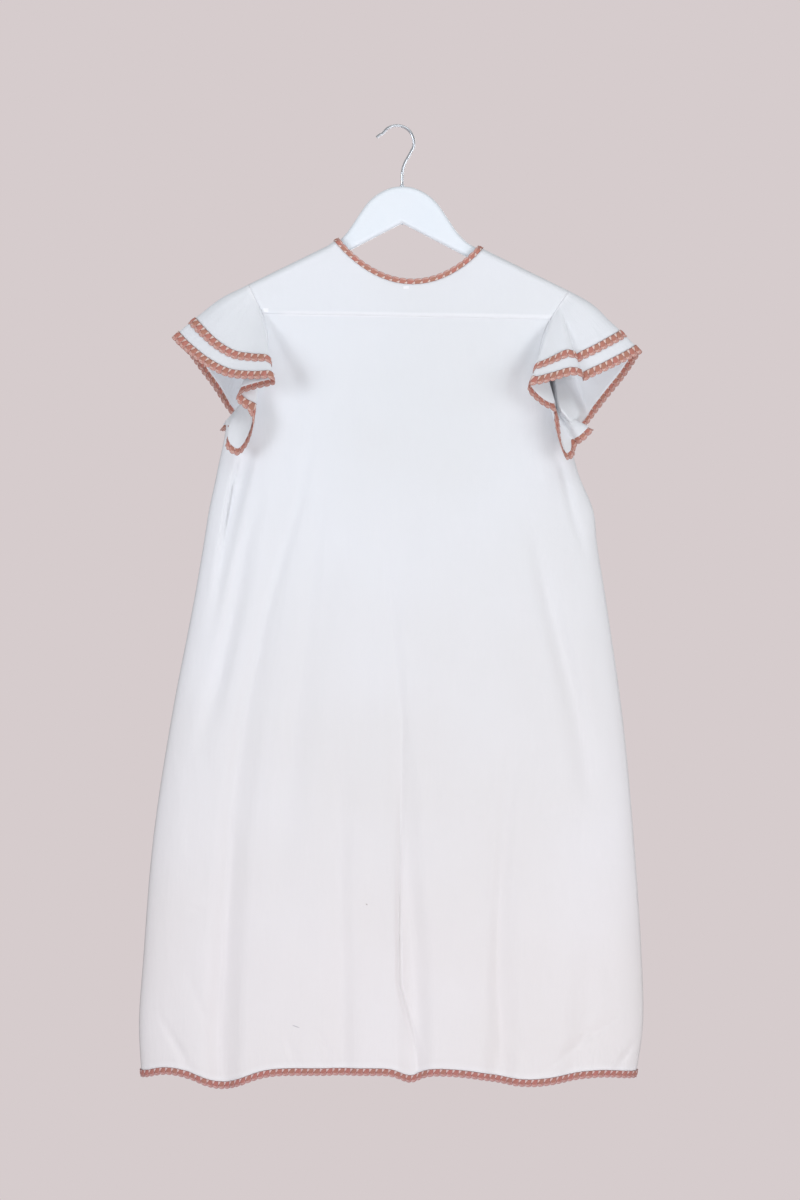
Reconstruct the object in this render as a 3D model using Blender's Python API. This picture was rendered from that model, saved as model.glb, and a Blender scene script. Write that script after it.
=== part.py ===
"""Smock dress hung on a flat wooden hanger, with its back towards -Y.

All sizes in the tables are millimetres. The origin is the inside top of the hanger's hook, where a
rod carries it. x runs to the right, y away from the dress's back, and drop is the distance below
the origin, so z is minus drop.
"""
import math
from collections import namedtuple

import bmesh
import bpy
from mathutils import Vector

MM = 0.001

# Driving sizes of the cloth
CLOTH = 1.5
SLEEVE_CLOTH = 1.2
SEAM_GAP = 0.3
HEM_DROP = 1131.0
HEM_DIPS_FROM_DROP = 940.0
UNDERARM_DROP = 352.0
YOKE_SEAM_DROP = 221.5
FRONT_BASE_DROP = 300.0

# The dress hangs a little to the right, so its right side lies lower
RIGHT_SIDE_LOWER = 7.0
LEVEL_AGAIN_DROP = 650.0

# Hanger: a wire hook in a flat wooden body
STEM_X = 6.2
HANGER_THICK = 12.0
HANGER_ROUND = 5.4
HANGER_HALF_SPAN = 219.0
ARM_TOP_DROP = 101.5
ARM_SLOPE = 0.4895
NECK_RISE_FROM = 90.0
NECK_RISE = 0.17
APEX_DROP = 115.8
UNDERSIDE_SLOPE = 0.519
UNDERSIDE_PARALLEL_FROM = 90.0
ARM_END_STEPS = 6
HOOK_WIRE = 3.5
HOOK_RADIUS = 20.2
STEM_HOLE = 4.2
STEM_DEPTH = 22.0
STEM_STRAIGHT_FROM = 62.0
STEM_ABOVE_HOLE_END = 1.0

# Shoulders and neck
SHOULDER_ABOVE_ARM = 2.8
SHOULDER_ROUND = 9.0
NECK_FROM_SHARE = 0.2764
NECK_TO_SHARE = 0.7241
BACK_NECK_DEPTH = 46.0
FRONT_NECK_DEPTH = 130.0
NECK_POWER = 0.93

# Armholes, and how far off their edge the sleeves start
ARMHOLE_INSET = 36.0
ARMHOLE_LOWER_POWER = 0.7
SLEEVE_OUT = 0.9
SLEEVE_LIFT = 1.3
SECTION_POWER = 2.4

# Braid along the edges
BRAID_WIDTH = 10.0
BRAID_THICK = 0.8
BRAID_OFF = 0.7
NECK_BRAID_FROM = 0.4
NECK_BRAID_TO = 7.6
NECK_BRAID_FALLS = (0.35, 1.2, 3.0, 6.0, 10.5)
NECK_BRAID_COLUMNS = 14

# Grid density
SIDE_COLUMNS = 11
NECK_COLUMNS = 18
CROWDING = 0.6
NECK_CROWDING = 0.85
FIRST_NECK_COLUMN = 0.005
SLEEVE_COLUMNS_PER_STATION = 2

LEFT, RIGHT = -1, 1
BACK, FRONT = -1, 1
TINY = 1e-4
EDGE_STEP = 0.001
NORMAL_STEP = 0.01
SHARP_ANGLE = 50.0

Section = namedtuple("Section", "drop left right back front")
# Outline and half depth of the body. Above the underarm the edges are where the shoulders' cloth
# would reach past the armholes.
SECTIONS = (
    Section(130, -262, 282, 12, 12),
    Section(200, -232, 252, 12, 12),
    Section(280, -214, 224, 17, 19),
    Section(352, -205, 206, 24, 28),
    Section(412, -215.5, 216.5, 29, 34),
    Section(460, -225.6, 235.4, 32, 37),
    Section(500, -232, 240, 34, 39),
    Section(568, -243.6, 250.8, 37, 42),
    Section(712, -271.2, 271.2, 42, 46),
    Section(856, -292.8, 284.4, 46, 50),
    Section(1000, -304.8, 294, 49, 53),
    Section(1072, -309.6, 295.2, 50, 54),
    Section(1140, -306, 285, 50, 54),
)

Fold = namedtuple("Fold", "top bottom peak share_top share_mid share_bottom half_width depth")
# Soft troughs, from top drop to bottom drop, deepest at the peak share of their length
BACK_FOLDS = (
    Fold(290, 1190, 0.95, 0.190, 0.155, 0.150, 26, 17),
    Fold(372, 660, 0.15, 0.080, 0.056, 0.060, 13, 9),
    Fold(430, 800, 0.50, 0.120, 0.100, 0.070, 20, 5),
    Fold(440, 1010, 0.60, 0.330, 0.290, 0.270, 26, 4),
    Fold(720, 1200, 0.90, 0.365, 0.385, 0.405, 26, 8),
    Fold(400, 1200, 0.92, 0.430, 0.505, 0.540, 24, 16),
    Fold(700, 1200, 0.90, 0.745, 0.705, 0.712, 24, 14),
    Fold(420, 860, 0.50, 0.820, 0.880, 0.915, 22, 7),
    Fold(900, 1200, 0.85, 0.905, 0.880, 0.860, 24, 8),
)
FRONT_FOLDS = (
    Fold(300, 1190, 0.95, 0.180, 0.150, 0.140, 26, 15),
    Fold(380, 700, 0.20, 0.060, 0.055, 0.070, 14, 7),
    Fold(330, 1200, 0.92, 0.340, 0.300, 0.285, 26, 15),
    Fold(640, 1200, 0.90, 0.430, 0.440, 0.430, 24, 9),
    Fold(320, 1200, 0.92, 0.590, 0.600, 0.590, 26, 16),
    Fold(760, 1200, 0.90, 0.740, 0.735, 0.725, 24, 9),
    Fold(300, 1190, 0.95, 0.810, 0.850, 0.865, 26, 15),
)

Dip = namedtuple("Dip", "x width depth")
# Where the back hem hangs lower than its line, and where the front hem does
BACK_HEM_DIPS = (Dip(-208, 38, 15), Dip(16, 16, 7), Dip(160, 62, 11))
FRONT_HEM_DIPS = (Dip(-190, 50, 9), Dip(-40, 45, 6), Dip(110, 50, 8), Dip(240, 30, 5))

Station = namedtuple("Station", "seam x y drop push_x push_y push_drop")
# Each station ties a place on the armhole seam to a place on the sleeve's edge. seam runs from 0 at
# the shoulder down the back to 1 at the underarm, and up the front to 2. push bends the cloth
# between the two.
LEFT_SLEEVE = (
    Station(0.000, -270, 0, 253, 0, 0, -8.0),
    Station(0.012, -263, -8, 261, 0, -3, -8.0),
    Station(0.040, -251, -17, 272, 0, -3, -4.0),
    Station(0.070, -230, -30, 288, 0, -3, 0),
    Station(0.100, -203, -42, 302, 0, -2, 0),
    Station(0.130, -174, -54, 306, 0, 0, 0),
    Station(0.165, -151, -63, 306, 0, 0, 0),
    Station(0.210, -146, -60, 312, 0, 0, 0),
    Station(0.300, -166, -50, 316, 0, 0, 0),
    Station(0.400, -189, -40, 323, -3, 0, 0),
    Station(0.480, -190, -38, 332, -3, 0, 0),
    Station(0.580, -176, -44, 345, 0, 0, 0),
    Station(0.680, -172, -47, 362, 0, -2, 0),
    Station(0.780, -179, -44, 384, 0, -3, 0),
    Station(0.860, -191, -38, 395, 0, -3, 0),
    Station(0.920, -204, -30, 386, -3, -3, 0),
    Station(0.960, -203, -21, 375, -2, -2, 0),
    Station(1.000, -217, -2, 370, -2, 0, 0),
    Station(1.100, -217, 13, 368, -4, 2, 0),
    Station(1.350, -206, 36, 362, -3, 2, 0),
    Station(1.720, -196, 54, 350, 0, 2, 0),
    Station(1.820, -207, 57, 336, 0, 2, 0),
    Station(1.880, -222, 45, 312, 0, 3, 0),
    Station(1.925, -238, 31, 290, 0, 3, -1),
    Station(1.960, -252, 16, 271, 0, 3, -4),
    Station(1.988, -263, 8, 261, 0, 3, -8),
)
RIGHT_SLEEVE = (
    Station(0.000, 294, 0, 270, 0, 0, -9.0),
    Station(0.012, 287, -7, 275, 0, -3, -8.0),
    Station(0.040, 272, -15, 283, 0, -3, -4.0),
    Station(0.065, 252, -23, 293, 0, -3, 0),
    Station(0.085, 233, -28, 302, 0, -3, 0),
    Station(0.100, 222, -31, 307, 0, -2, 0),
    Station(0.115, 221, -39, 303, 0, -2, 0),
    Station(0.130, 208, -45, 301, 0, -2, 0),
    Station(0.150, 188, -51, 307, 0, 0, 0),
    Station(0.175, 170, -58, 312, 0, 0, 0),
    Station(0.205, 157, -63, 315, 0, 0, 0),
    Station(0.250, 158, -59, 323, 0, 0, 0),
    Station(0.340, 173, -51, 336, 0, 0, 0),
    Station(0.430, 190, -42, 345, 0, 0, 0),
    Station(0.520, 194, -44, 360, 2, 0, 0),
    Station(0.600, 196, -48, 382, 0, -2, 0),
    Station(0.670, 202, -45, 400, 0, -3, 0),
    Station(0.730, 211, -37, 396, 0, -2, 0),
    Station(0.780, 214, -30, 384, 2, 0, 0),
    Station(0.840, 223, -38, 377, 0, -4, 0),
    Station(0.900, 234, -34, 365, 3, -4, 0),
    Station(0.950, 230, -19, 366, 4, -2, 0),
    Station(1.000, 220, -2, 378, 2, 0, 0),
    Station(1.100, 220, 13, 375, 4, 2, 0),
    Station(1.350, 224, 34, 364, 3, 2, 0),
    Station(1.720, 235, 48, 350, 0, 2, 0),
    Station(1.820, 246, 42, 335, 0, 2, 0),
    Station(1.880, 260, 33, 317, 0, 3, 0),
    Station(1.930, 273, 24, 301, 0, 3, -1),
    Station(1.965, 284, 14, 285, 0, 3, -4),
    Station(1.988, 290, 7, 275, 0, 3, -8),
)
LEFT_PUSH_PEAK = 0.42
RIGHT_PUSH_PEAK = 0.30

SleeveRow = namedtuple("SleeveRow", "rest from_edge most_share")
# Rows across a sleeve, from the seam to the edge. from_edge is limited to a share of the length, and
# rest is the share of what is left that lies below the row.
SLEEVE_ROWS = (
    SleeveRow(1.00, 34, 0.80),
    SleeveRow(0.66, 34, 0.80),
    SleeveRow(0.33, 34, 0.80),
    SleeveRow(0.00, 34, 0.80),
    SleeveRow(0.00, 24, 0.66),
    SleeveRow(0.00, 10, 0.48),
    SleeveRow(0.00, 4.5, 0.24),
)
UPPER_BRAID_ROWS = SLEEVE_ROWS[3:5]
EDGE_BRAID_ROWS = (*SLEEVE_ROWS[5:7], SleeveRow(0.00, 0, 0.00))

# Rows of each panel: as drops on its left edge, then as distances from its top edge
SIDE_ROW_DROPS = (1121, 1086, 1040, 980, 910, 835, 760, 685, 610, 540, 478, 425, 385, 352)
BACK_ARMHOLE_ROW_DROPS = (330, 300, 262)
FRONT_ARMHOLE_ROW_DROPS = (328,)
TOP_BAND = 8.0
TOP_BAND_ROWS = (3.5, 1.2, 0.0)
YOKE_ROWS = 2
FRONT_TOP_ROWS = 4

Point = namedtuple("Point", "x drop")
LEFT_TIP = Point(-178.3, 189.0)
RIGHT_TIP = Point(206.3, 196.6)
LEFT_UNDERARM_X = -205.0
RIGHT_UNDERARM_X = 206.0

# Upper outline of the hanger's body, by distance from the stem
HANGER_CROWN = (
    Point(0, 71.2),
    Point(10, 72.2),
    Point(20, 75.5),
    Point(30, 81.0),
    Point(40.5, 90.0),
    Point(48.5, 100.5),
    Point(55, 110.5),
    Point(61, 119.4),
    Point(66, 126.6),
    Point(71, 132.2),
    Point(77, 138.0),
    Point(83, 142.0),
)

# The hook's wire, past its round part: the flared tip and the bend down to the stem
HOOK_TIP = (Point(-24.5, 12.6), Point(-20.8, 9.6))
HOOK_BEND = (Point(14.3, 34.6), Point(10.4, 41.2), Point(7.7, 48.0), Point(6.4, 55.0))
HOOK_ARC_FROM = 147.0
HOOK_ARC_TO = -33.0
HOOK_ARC_STEPS = 14


def blend(a, b, share):
    return a + (b - a) * share


def ease(share):
    share = min(max(share, 0.0), 1.0)
    return share * share * (3 - 2 * share)


def along_table(rows, at, column):
    """A smooth curve through one column of a table whose first column rises."""
    last = len(rows) - 1
    i = next((k for k in range(1, last) if rows[k][0] > at), last) - 1
    here, there = rows[i], rows[i + 1]
    span = there[0] - here[0]
    share = min(max((at - here[0]) / span, 0.0), 1.0)
    values = [getattr(row, column) for row in rows]

    def slope(k):
        low, high = max(k - 1, 0), min(k + 1, last)
        return (values[high] - values[low]) / (rows[high][0] - rows[low][0])

    square, cube = share**2, share**3
    return (
        (2 * cube - 3 * square + 1) * values[i]
        + (cube - 2 * square + share) * span * slope(i)
        + (3 * square - 2 * cube) * values[i + 1]
        + (cube - square) * span * slope(i + 1)
    )


def lower_on_right(drop):
    """How much lower the right edge of a row lies than its left edge."""
    fade = 1 - ease((drop - UNDERARM_DROP) / (LEVEL_AGAIN_DROP - UNDERARM_DROP))
    return RIGHT_SIDE_LOWER * fade


def shoulder_drop(x):
    """Drop of the cloth's ridge on the hanger's arm, and of that line carried past it."""
    from_stem = abs(x - STEM_X)
    rise = NECK_RISE * max(0.0, NECK_RISE_FROM - from_stem)
    return ARM_TOP_DROP - SHOULDER_ABOVE_ARM + ARM_SLOPE * from_stem - rise


def side_edge(side, drop):
    """x of the panel's edge: the armhole above the underarm, the side seam below it."""
    if side == LEFT:
        tip, underarm_x, underarm_drop = LEFT_TIP, LEFT_UNDERARM_X, UNDERARM_DROP
    else:
        tip, underarm_x = RIGHT_TIP, RIGHT_UNDERARM_X
        underarm_drop = UNDERARM_DROP + RIGHT_SIDE_LOWER
    if drop >= underarm_drop:
        return along_table(SECTIONS, drop, "left" if side == LEFT else "right")
    share = min(max((drop - tip.drop) / (underarm_drop - tip.drop), 0.0), 1.0)
    curve = math.sin(math.pi * share)
    inset = ARMHOLE_INSET * (curve if share < 0.5 else curve**ARMHOLE_LOWER_POWER)
    return blend(tip.x, underarm_x, share) - side * inset


def fold_depth(folds, share, drop, width):
    """How far the folds push the cloth inwards here."""
    total = 0.0
    for fold in folds:
        along = (drop - fold.top) / (fold.bottom - fold.top)
        if not 0 < along < 1:
            continue
        early = fold.share_top * (1 - along) ** 2 + fold.share_bottom * along**2
        middle = 2 * fold.share_mid - (fold.share_top + fold.share_bottom) / 2
        centre = early + 2 * along * (1 - along) * middle
        across = (share - centre) * width / fold.half_width
        if abs(across) >= 1:
            continue
        swell = along / fold.peak if along < fold.peak else (1 - along) / (1 - fold.peak)
        total += fold.depth * ease(swell) * 0.5 * (1 + math.cos(math.pi * across))
    return total


def body_depth(face, share, x, drop, row):
    """Distance of the body's outer face from the plane of the hanger. row holds the drops of the
    row's left and right ends, which give its outline."""
    left = along_table(SECTIONS, row[0], "left")
    right = along_table(SECTIONS, row[1], "right")
    across = min(abs(2 * (x - left) / (right - left) - 1), 1.0)
    roundness = (1 - across**SECTION_POWER) ** (1 / SECTION_POWER)
    under_ridge = min(max((drop - shoulder_drop(x)) / SHOULDER_ROUND, 0.0), 1.0)
    rise = math.sqrt(1 - (1 - under_ridge) ** 2)
    half_depth = along_table(SECTIONS, drop, "back" if face == BACK else "front")
    folds = BACK_FOLDS if face == BACK else FRONT_FOLDS
    fold = fold_depth(folds, share, drop, right - left) * min(1.0, 2 * roundness)
    return SEAM_GAP / 2 + half_depth * roundness * rise - fold * rise


def hem_dip(face, x):
    dips = BACK_HEM_DIPS if face == BACK else FRONT_HEM_DIPS
    return sum(dip.depth * math.exp(-(((x - dip.x) / dip.width) ** 2)) for dip in dips)


def top_drop(face, share):
    """Drop of the panel's top edge: shoulder, neckline, shoulder."""
    if not NECK_FROM_SHARE < share < NECK_TO_SHARE:
        return shoulder_drop(blend(LEFT_TIP.x, RIGHT_TIP.x, share))
    neck = (share - NECK_FROM_SHARE) / (NECK_TO_SHARE - NECK_FROM_SHARE)
    ends = [
        shoulder_drop(blend(LEFT_TIP.x, RIGHT_TIP.x, end))
        for end in (NECK_FROM_SHARE, NECK_TO_SHARE)
    ]
    depth = BACK_NECK_DEPTH if face == BACK else FRONT_NECK_DEPTH
    return blend(*ends, neck) + depth * (4 * neck * (1 - neck)) ** NECK_POWER


def base_drop(face):
    return YOKE_SEAM_DROP if face == BACK else FRONT_BASE_DROP


def band_point(face, share, below):
    """x and drop of a point this far below the top edge."""
    by_left = max(0.0, 1 - share / NECK_FROM_SHARE)
    by_right = max(0.0, 1 - (1 - share) / (1 - NECK_TO_SHARE))
    x = blend(LEFT_TIP.x, RIGHT_TIP.x, share)
    x += by_left * (side_edge(LEFT, LEFT_TIP.drop + below) - LEFT_TIP.x)
    x += by_right * (side_edge(RIGHT, RIGHT_TIP.drop + below) - RIGHT_TIP.x)
    return Point(x, top_drop(face, share) + below)


def row_ends(face, level):
    """Drops of a row's left and right ends."""
    base = base_drop(face)
    if level <= 1:
        left = blend(HEM_DROP, base, level)
        return left, left + lower_on_right(left)
    below = TOP_BAND * min((2 - level) / 0.5, 1.0)
    ends = LEFT_TIP.drop + below, RIGHT_TIP.drop + below
    if level >= 1.5:
        return ends
    up = (level - 1) / 0.5
    return blend(base, ends[0], up), blend(base + lower_on_right(base), ends[1], up)


def body_point(face, share, level):
    """A point of the body's outer face. share runs from left to right, and level from 0 at the hem
    to 1 at the panel's base row, 1.5 at the top edge's band and 2 at the top edge."""
    row = row_ends(face, level)
    x = blend(side_edge(LEFT, row[0]), side_edge(RIGHT, row[1]), share)
    drop = blend(row[0], row[1], share)
    if level < 1:
        drop += hem_dip(face, x) * ease((drop - HEM_DIPS_FROM_DROP) / (HEM_DROP - HEM_DIPS_FROM_DROP))
    elif level < 1.5:
        up = (level - 1) / 0.5
        band = row_ends(face, 1.5)
        end = band_point(face, share, TOP_BAND)
        straight = blend(side_edge(LEFT, band[0]), side_edge(RIGHT, band[1]), share)
        x += (end.x - straight) * up
        drop += (end.drop - blend(*band, share)) * up
    else:
        x, drop = band_point(face, share, (2 - level) / 0.5 * TOP_BAND)
    return Vector((x, face * body_depth(face, share, x, drop, row), -drop))


def body_normal(face, share, level):
    """The outward direction at a point of the body, taken from points just beside it."""
    low, high = share - TINY, share + TINY
    if level > 1:
        if share <= NECK_FROM_SHARE:
            high = min(high, NECK_FROM_SHARE)
        elif share >= NECK_TO_SHARE:
            low = max(low, NECK_TO_SHARE)
    low, high = max(low, 0.0), min(high, 1.0)
    across = body_point(face, high, level) - body_point(face, low, level)
    up = body_point(face, share, min(level + TINY, 2.0))
    up -= body_point(face, share, level - TINY)
    return (across.cross(up) * -face).normalized()


def armhole_level(face, seam):
    """The level on a panel's armhole edge at a share of the way from shoulder to underarm."""
    drop = blend(LEFT_TIP.drop, UNDERARM_DROP, seam)
    base = base_drop(face)
    if drop > base:
        return (HEM_DROP - drop) / (HEM_DROP - base)
    band = row_ends(face, 1.5)[0]
    if drop > band:
        return 1 + 0.5 * (base - drop) / (base - band)
    return 1.5 + 0.5 * (band - drop) / (band - LEFT_TIP.drop)


def seam_point(side, seam):
    """Where the sleeve starts: just outside the armhole's edge."""
    seam = seam % 2
    face = BACK if seam <= 1 else FRONT
    level = armhole_level(face, seam if seam <= 1 else 2 - seam)
    share = 0.0 if side == LEFT else 1.0
    point = body_point(face, share, level)
    point += body_normal(face, share, level) * SLEEVE_LIFT
    point.x += side * SLEEVE_OUT
    return point


def push_at(along, peak):
    """A soft-topped hill from 0 to 1, for bending the cloth between the seam and the edge."""
    before, after, soft = along / peak, (1 - along) / (1 - peak), 0.12
    hill = 0.5 * (before + after - math.sqrt((before - after) ** 2 + soft))
    foot = 0.5 * (1 / (1 - peak) - math.sqrt(1 / (1 - peak) ** 2 + soft))
    return max(hill - foot * (1 - along), 0.0)


def station_at(stations, place):
    """The stations' columns on a closed smooth curve. place counts stations."""
    count = len(stations)
    whole = math.floor(place)
    share = place - whole
    rows = [stations[(whole + k) % count] for k in (-1, 0, 1, 2)]
    turns = [2.0 * ((whole + k) // count) for k in (-1, 0, 1, 2)]
    weights = (
        (-share + 2 * share**2 - share**3) / 2,
        (2 - 5 * share**2 + 3 * share**3) / 2,
        (share + 4 * share**2 - 3 * share**3) / 2,
        (share**3 - share**2) / 2,
    )
    seam = blend(rows[1].seam + turns[1], rows[2].seam + turns[2], share)
    others = [sum(w * row[k] for w, row in zip(weights, rows)) for k in range(1, len(rows[0]))]
    return Station(seam, *others)


def sleeve_point(side, place, along):
    """A point of the sleeve's outer face, from 0 at the seam to 1 at the braid's edge."""
    stations, peak = (LEFT_SLEEVE, LEFT_PUSH_PEAK) if side == LEFT else (RIGHT_SLEEVE, RIGHT_PUSH_PEAK)
    station = station_at(stations, place)
    start = seam_point(side, station.seam)
    end = Vector((station.x, station.y, -station.drop))
    push = Vector((station.push_x, station.push_y, -station.push_drop))
    return start.lerp(end, along) + push * push_at(min(along, 1.0), peak)


def sleeve_normal(side, place, along):
    step = NORMAL_STEP
    round_it = sleeve_point(side, place + step, along) - sleeve_point(side, place - step, along)
    outwards = sleeve_point(side, place, along + step) - sleeve_point(side, place, along - step)
    return (round_it.cross(outwards) * side).normalized()


def sleeve_length(side, place):
    return (sleeve_point(side, place, 1.0) - sleeve_point(side, place, 0.0)).length


def shares():
    """Columns of a panel: close together at the side seams and at the neck points."""
    side = []
    for k in range(SIDE_COLUMNS):
        even = k / SIDE_COLUMNS
        side.append(NECK_FROM_SHARE * blend(even, 1 - math.cos(0.5 * math.pi * even), CROWDING))
    places = [0.0, FIRST_NECK_COLUMN, 1 - FIRST_NECK_COLUMN, 1.0]
    for k in range(1, NECK_COLUMNS):
        even = k / NECK_COLUMNS
        crowded = 0.5 * (1 - math.cos(math.pi * even))
        places.append(blend(even, crowded, NECK_CROWDING))
    neck = [blend(NECK_FROM_SHARE, NECK_TO_SHARE, place) for place in sorted(places)]
    neck[0], neck[-1] = NECK_FROM_SHARE, NECK_TO_SHARE
    far = [1 - share * (1 - NECK_TO_SHARE) / NECK_FROM_SHARE for share in reversed(side)]
    return side + neck + far


def levels_from(face, drops):
    base = base_drop(face)
    return [(HEM_DROP - drop) / (HEM_DROP - base) for drop in drops]


def cloth(name, columns, rows, place, material, ring=False):
    """A wall of cloth. place(column, row) gives its outer and its inner point."""
    mesh = bmesh.new()
    column_of = mesh.verts.layers.float.new("column")
    row_of = mesh.verts.layers.float.new("row")
    bmesh.ops.create_grid(mesh, x_segments=len(columns) - 1, y_segments=len(rows) - 1, size=1)
    for vert in mesh.verts:
        vert[column_of] = round((vert.co.x + 1) / 2 * (len(columns) - 1))
        vert[row_of] = round((vert.co.y + 1) / 2 * (len(rows) - 1))
    walls = {
        (i, j): place(column, row)
        for i, column in enumerate(columns)
        for j, row in enumerate(rows)
    }
    last = len(columns) - 1

    def wall_of(vert):
        column = round(vert[column_of])
        return walls[(0 if ring and column == last else column), round(vert[row_of])]

    for vert in mesh.verts:
        vert.co = wall_of(vert)[0] * MM
    if ring:
        bmesh.ops.remove_doubles(mesh, verts=mesh.verts, dist=TINY * MM)
    made = bmesh.ops.extrude_face_region(mesh, geom=mesh.faces[:], use_keep_orig=True)
    for vert in [item for item in made["geom"] if isinstance(item, bmesh.types.BMVert)]:
        vert.co = wall_of(vert)[1] * MM
    bmesh.ops.recalc_face_normals(mesh, faces=mesh.faces)
    return finished(name, mesh, material)


def finished(name, mesh, material):
    """Turns a bmesh into a smooth-shaded object of its own, with its material."""
    data = bpy.data.meshes.new(name)
    mesh.to_mesh(data)
    mesh.free()
    data.shade_smooth()
    data.set_sharp_from_angle(angle=math.radians(SHARP_ANGLE))
    data.materials.append(material)
    thing = bpy.data.objects.new(name, data)
    bpy.context.collection.objects.link(thing)
    return thing


def material(name, colour, roughness, metallic=0.0):
    made = bpy.data.materials.new(name)
    made.use_nodes = True
    shader = made.node_tree.nodes["Principled BSDF"]
    shader.inputs["Base Color"].default_value = (*colour, 1)
    shader.inputs["Roughness"].default_value = roughness
    shader.inputs["Metallic"].default_value = metallic
    return made


def panel(name, face, levels, fabric):
    """A panel of the body between its lowest and its highest level."""

    def place(share, level):
        point = body_point(face, share, level)
        return point, point - body_normal(face, share, level) * CLOTH

    cloth(name, shares(), levels, place, fabric)


def top_levels(rows):
    """Levels from above the base row up to the top edge."""
    lower = [1 + 0.5 * (k + 1) / rows for k in range(rows)]
    return lower + [2 - 0.5 * below / TOP_BAND for below in TOP_BAND_ROWS]


def body_panels(fabric):
    """The back's yoke, and below it each face's panels, which meet at the height of the underarm."""
    gap = SEAM_GAP / (HEM_DROP - YOKE_SEAM_DROP)
    skirt = levels_from(BACK, SIDE_ROW_DROPS)
    bodice = [skirt[-1] + gap, *levels_from(BACK, BACK_ARMHOLE_ROW_DROPS), 1 - gap]
    panel("back_panel", BACK, [0.0, *skirt], fabric)
    panel("back_bodice", BACK, bodice, fabric)
    panel("back_yoke", BACK, [1.0, *top_levels(YOKE_ROWS)], fabric)
    front_gap = SEAM_GAP / (HEM_DROP - FRONT_BASE_DROP)
    front_skirt = levels_from(FRONT, SIDE_ROW_DROPS)
    front_bodice = [front_skirt[-1] + front_gap, *levels_from(FRONT, FRONT_ARMHOLE_ROW_DROPS), 1.0]
    panel("front_panel", FRONT, [0.0, *front_skirt], fabric)
    panel("front_bodice", FRONT, [*front_bodice, *top_levels(FRONT_TOP_ROWS)], fabric)


def along_of(side, at, row):
    """How far along the sleeve a row lies here, from 0 at the seam to 1 at the edge."""
    length = sleeve_length(side, at)
    return (1 - row.rest) * (1 - min(row.from_edge, row.most_share * length) / length)


def sleeve_columns(first, last):
    steps = round((last - first) * SLEEVE_COLUMNS_PER_STATION)
    return [first + k / SLEEVE_COLUMNS_PER_STATION for k in range(steps + 1)]


def sleeve(name, side, stations, fabric):
    """One flared sleeve: a ring of cloth from the armhole to its edge."""

    def place(at, row):
        along = along_of(side, at, row)
        point = sleeve_point(side, at, along)
        return point, point - sleeve_normal(side, at, along) * SLEEVE_CLOTH

    cloth(name, sleeve_columns(0, len(stations)), SLEEVE_ROWS, place, fabric, ring=True)


def sleeve_braid(name, side, columns, rows, braid, ring):
    """A braid on the sleeve's outer face, between two of its rows."""

    def place(at, row):
        along = along_of(side, at, row)
        point, normal = sleeve_point(side, at, along), sleeve_normal(side, at, along)
        return point + normal * (BRAID_OFF + BRAID_THICK), point + normal * BRAID_OFF

    cloth(name, columns, rows, place, braid, ring=ring)


def ring_of_braid(name, columns, rows, braid):
    """A closed braid. columns holds functions that give a point and a normal at each row."""
    count = len(columns)

    def place(index, row):
        point, normal = columns[round(index) % count](row)
        return point + normal * (BRAID_OFF + BRAID_THICK), point + normal * BRAID_OFF

    cloth(name, range(count + 1), rows, place, braid, ring=True)


def on_body(face, share, level_of):
    """The point and the normal of a body column at each row. level_of turns a row into a level."""

    def column(row):
        level = level_of(row)
        point, normal = body_point(face, share, level), body_normal(face, share, level)
        if share in (0.0, 1.0):
            point.y, normal.y = 0.0, 0.0
        return point, normal.normalized()

    return column


def hem_braid(braid):
    def level_of(above_hem):
        return above_hem / (HEM_DROP - YOKE_SEAM_DROP)

    def front_level_of(above_hem):
        return above_hem / (HEM_DROP - FRONT_BASE_DROP)

    columns = [on_body(BACK, share, level_of) for share in shares()]
    columns += [on_body(FRONT, share, front_level_of) for share in shares()[-2:0:-1]]
    ring_of_braid("hem_braid", columns, [0.0, BRAID_WIDTH], braid)


def near_neck(face, x, drop):
    """A point of the body by the neck, from its x and drop."""
    share = (x - LEFT_TIP.x) / (RIGHT_TIP.x - LEFT_TIP.x)
    return Vector((x, face * body_depth(face, share, x, drop, row_ends(face, 1.5)), -drop))


def neck_column(face, share):
    """A column of the neck braid, square to the neckline. On the shoulder it follows the ridge."""
    x, drop = band_point(face, share, 0.0)
    side = LEFT if share < 0.5 else RIGHT
    before, after = band_point(face, share - EDGE_STEP, 0.0), band_point(face, share + EDGE_STEP, 0.0)
    square = Vector((before.drop - after.drop, after.x - before.x)).normalized()
    ridge = Vector((side, ARM_SLOPE)).normalized()
    away = ridge.lerp(square, ease((drop - shoulder_drop(x)) / SHOULDER_ROUND)).normalized()

    def column(inwards):
        here = away * inwards + Vector((x, drop))
        if share in (NECK_FROM_SHARE, NECK_TO_SHARE):
            return Vector((here.x, 0, -here.y)), Vector((side * ARM_SLOPE, 0, 1)).normalized()
        point = near_neck(face, *here)
        below = near_neck(face, here.x, here.y + NORMAL_STEP) - point
        across = near_neck(face, here.x + NORMAL_STEP, here.y + NORMAL_STEP) - point
        return point, (across.cross(below) * face).normalized()

    return column


def share_at_fall(face, side, fall):
    """The share at which the neckline lies this far below the shoulder's ridge."""
    start = NECK_FROM_SHARE if side == LEFT else NECK_TO_SHARE
    near, far = start, 0.5
    for _ in range(40):
        middle = (near + far) / 2
        x, drop = band_point(face, middle, 0.0)
        if drop - shoulder_drop(x) < fall:
            near = middle
        else:
            far = middle
    return near


def neck_shares(face):
    left = [share_at_fall(face, LEFT, fall) for fall in NECK_BRAID_FALLS]
    right = [share_at_fall(face, RIGHT, fall) for fall in reversed(NECK_BRAID_FALLS)]
    middle = [blend(left[-1], right[0], k / NECK_BRAID_COLUMNS) for k in range(1, NECK_BRAID_COLUMNS)]
    return left + middle + right


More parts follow.
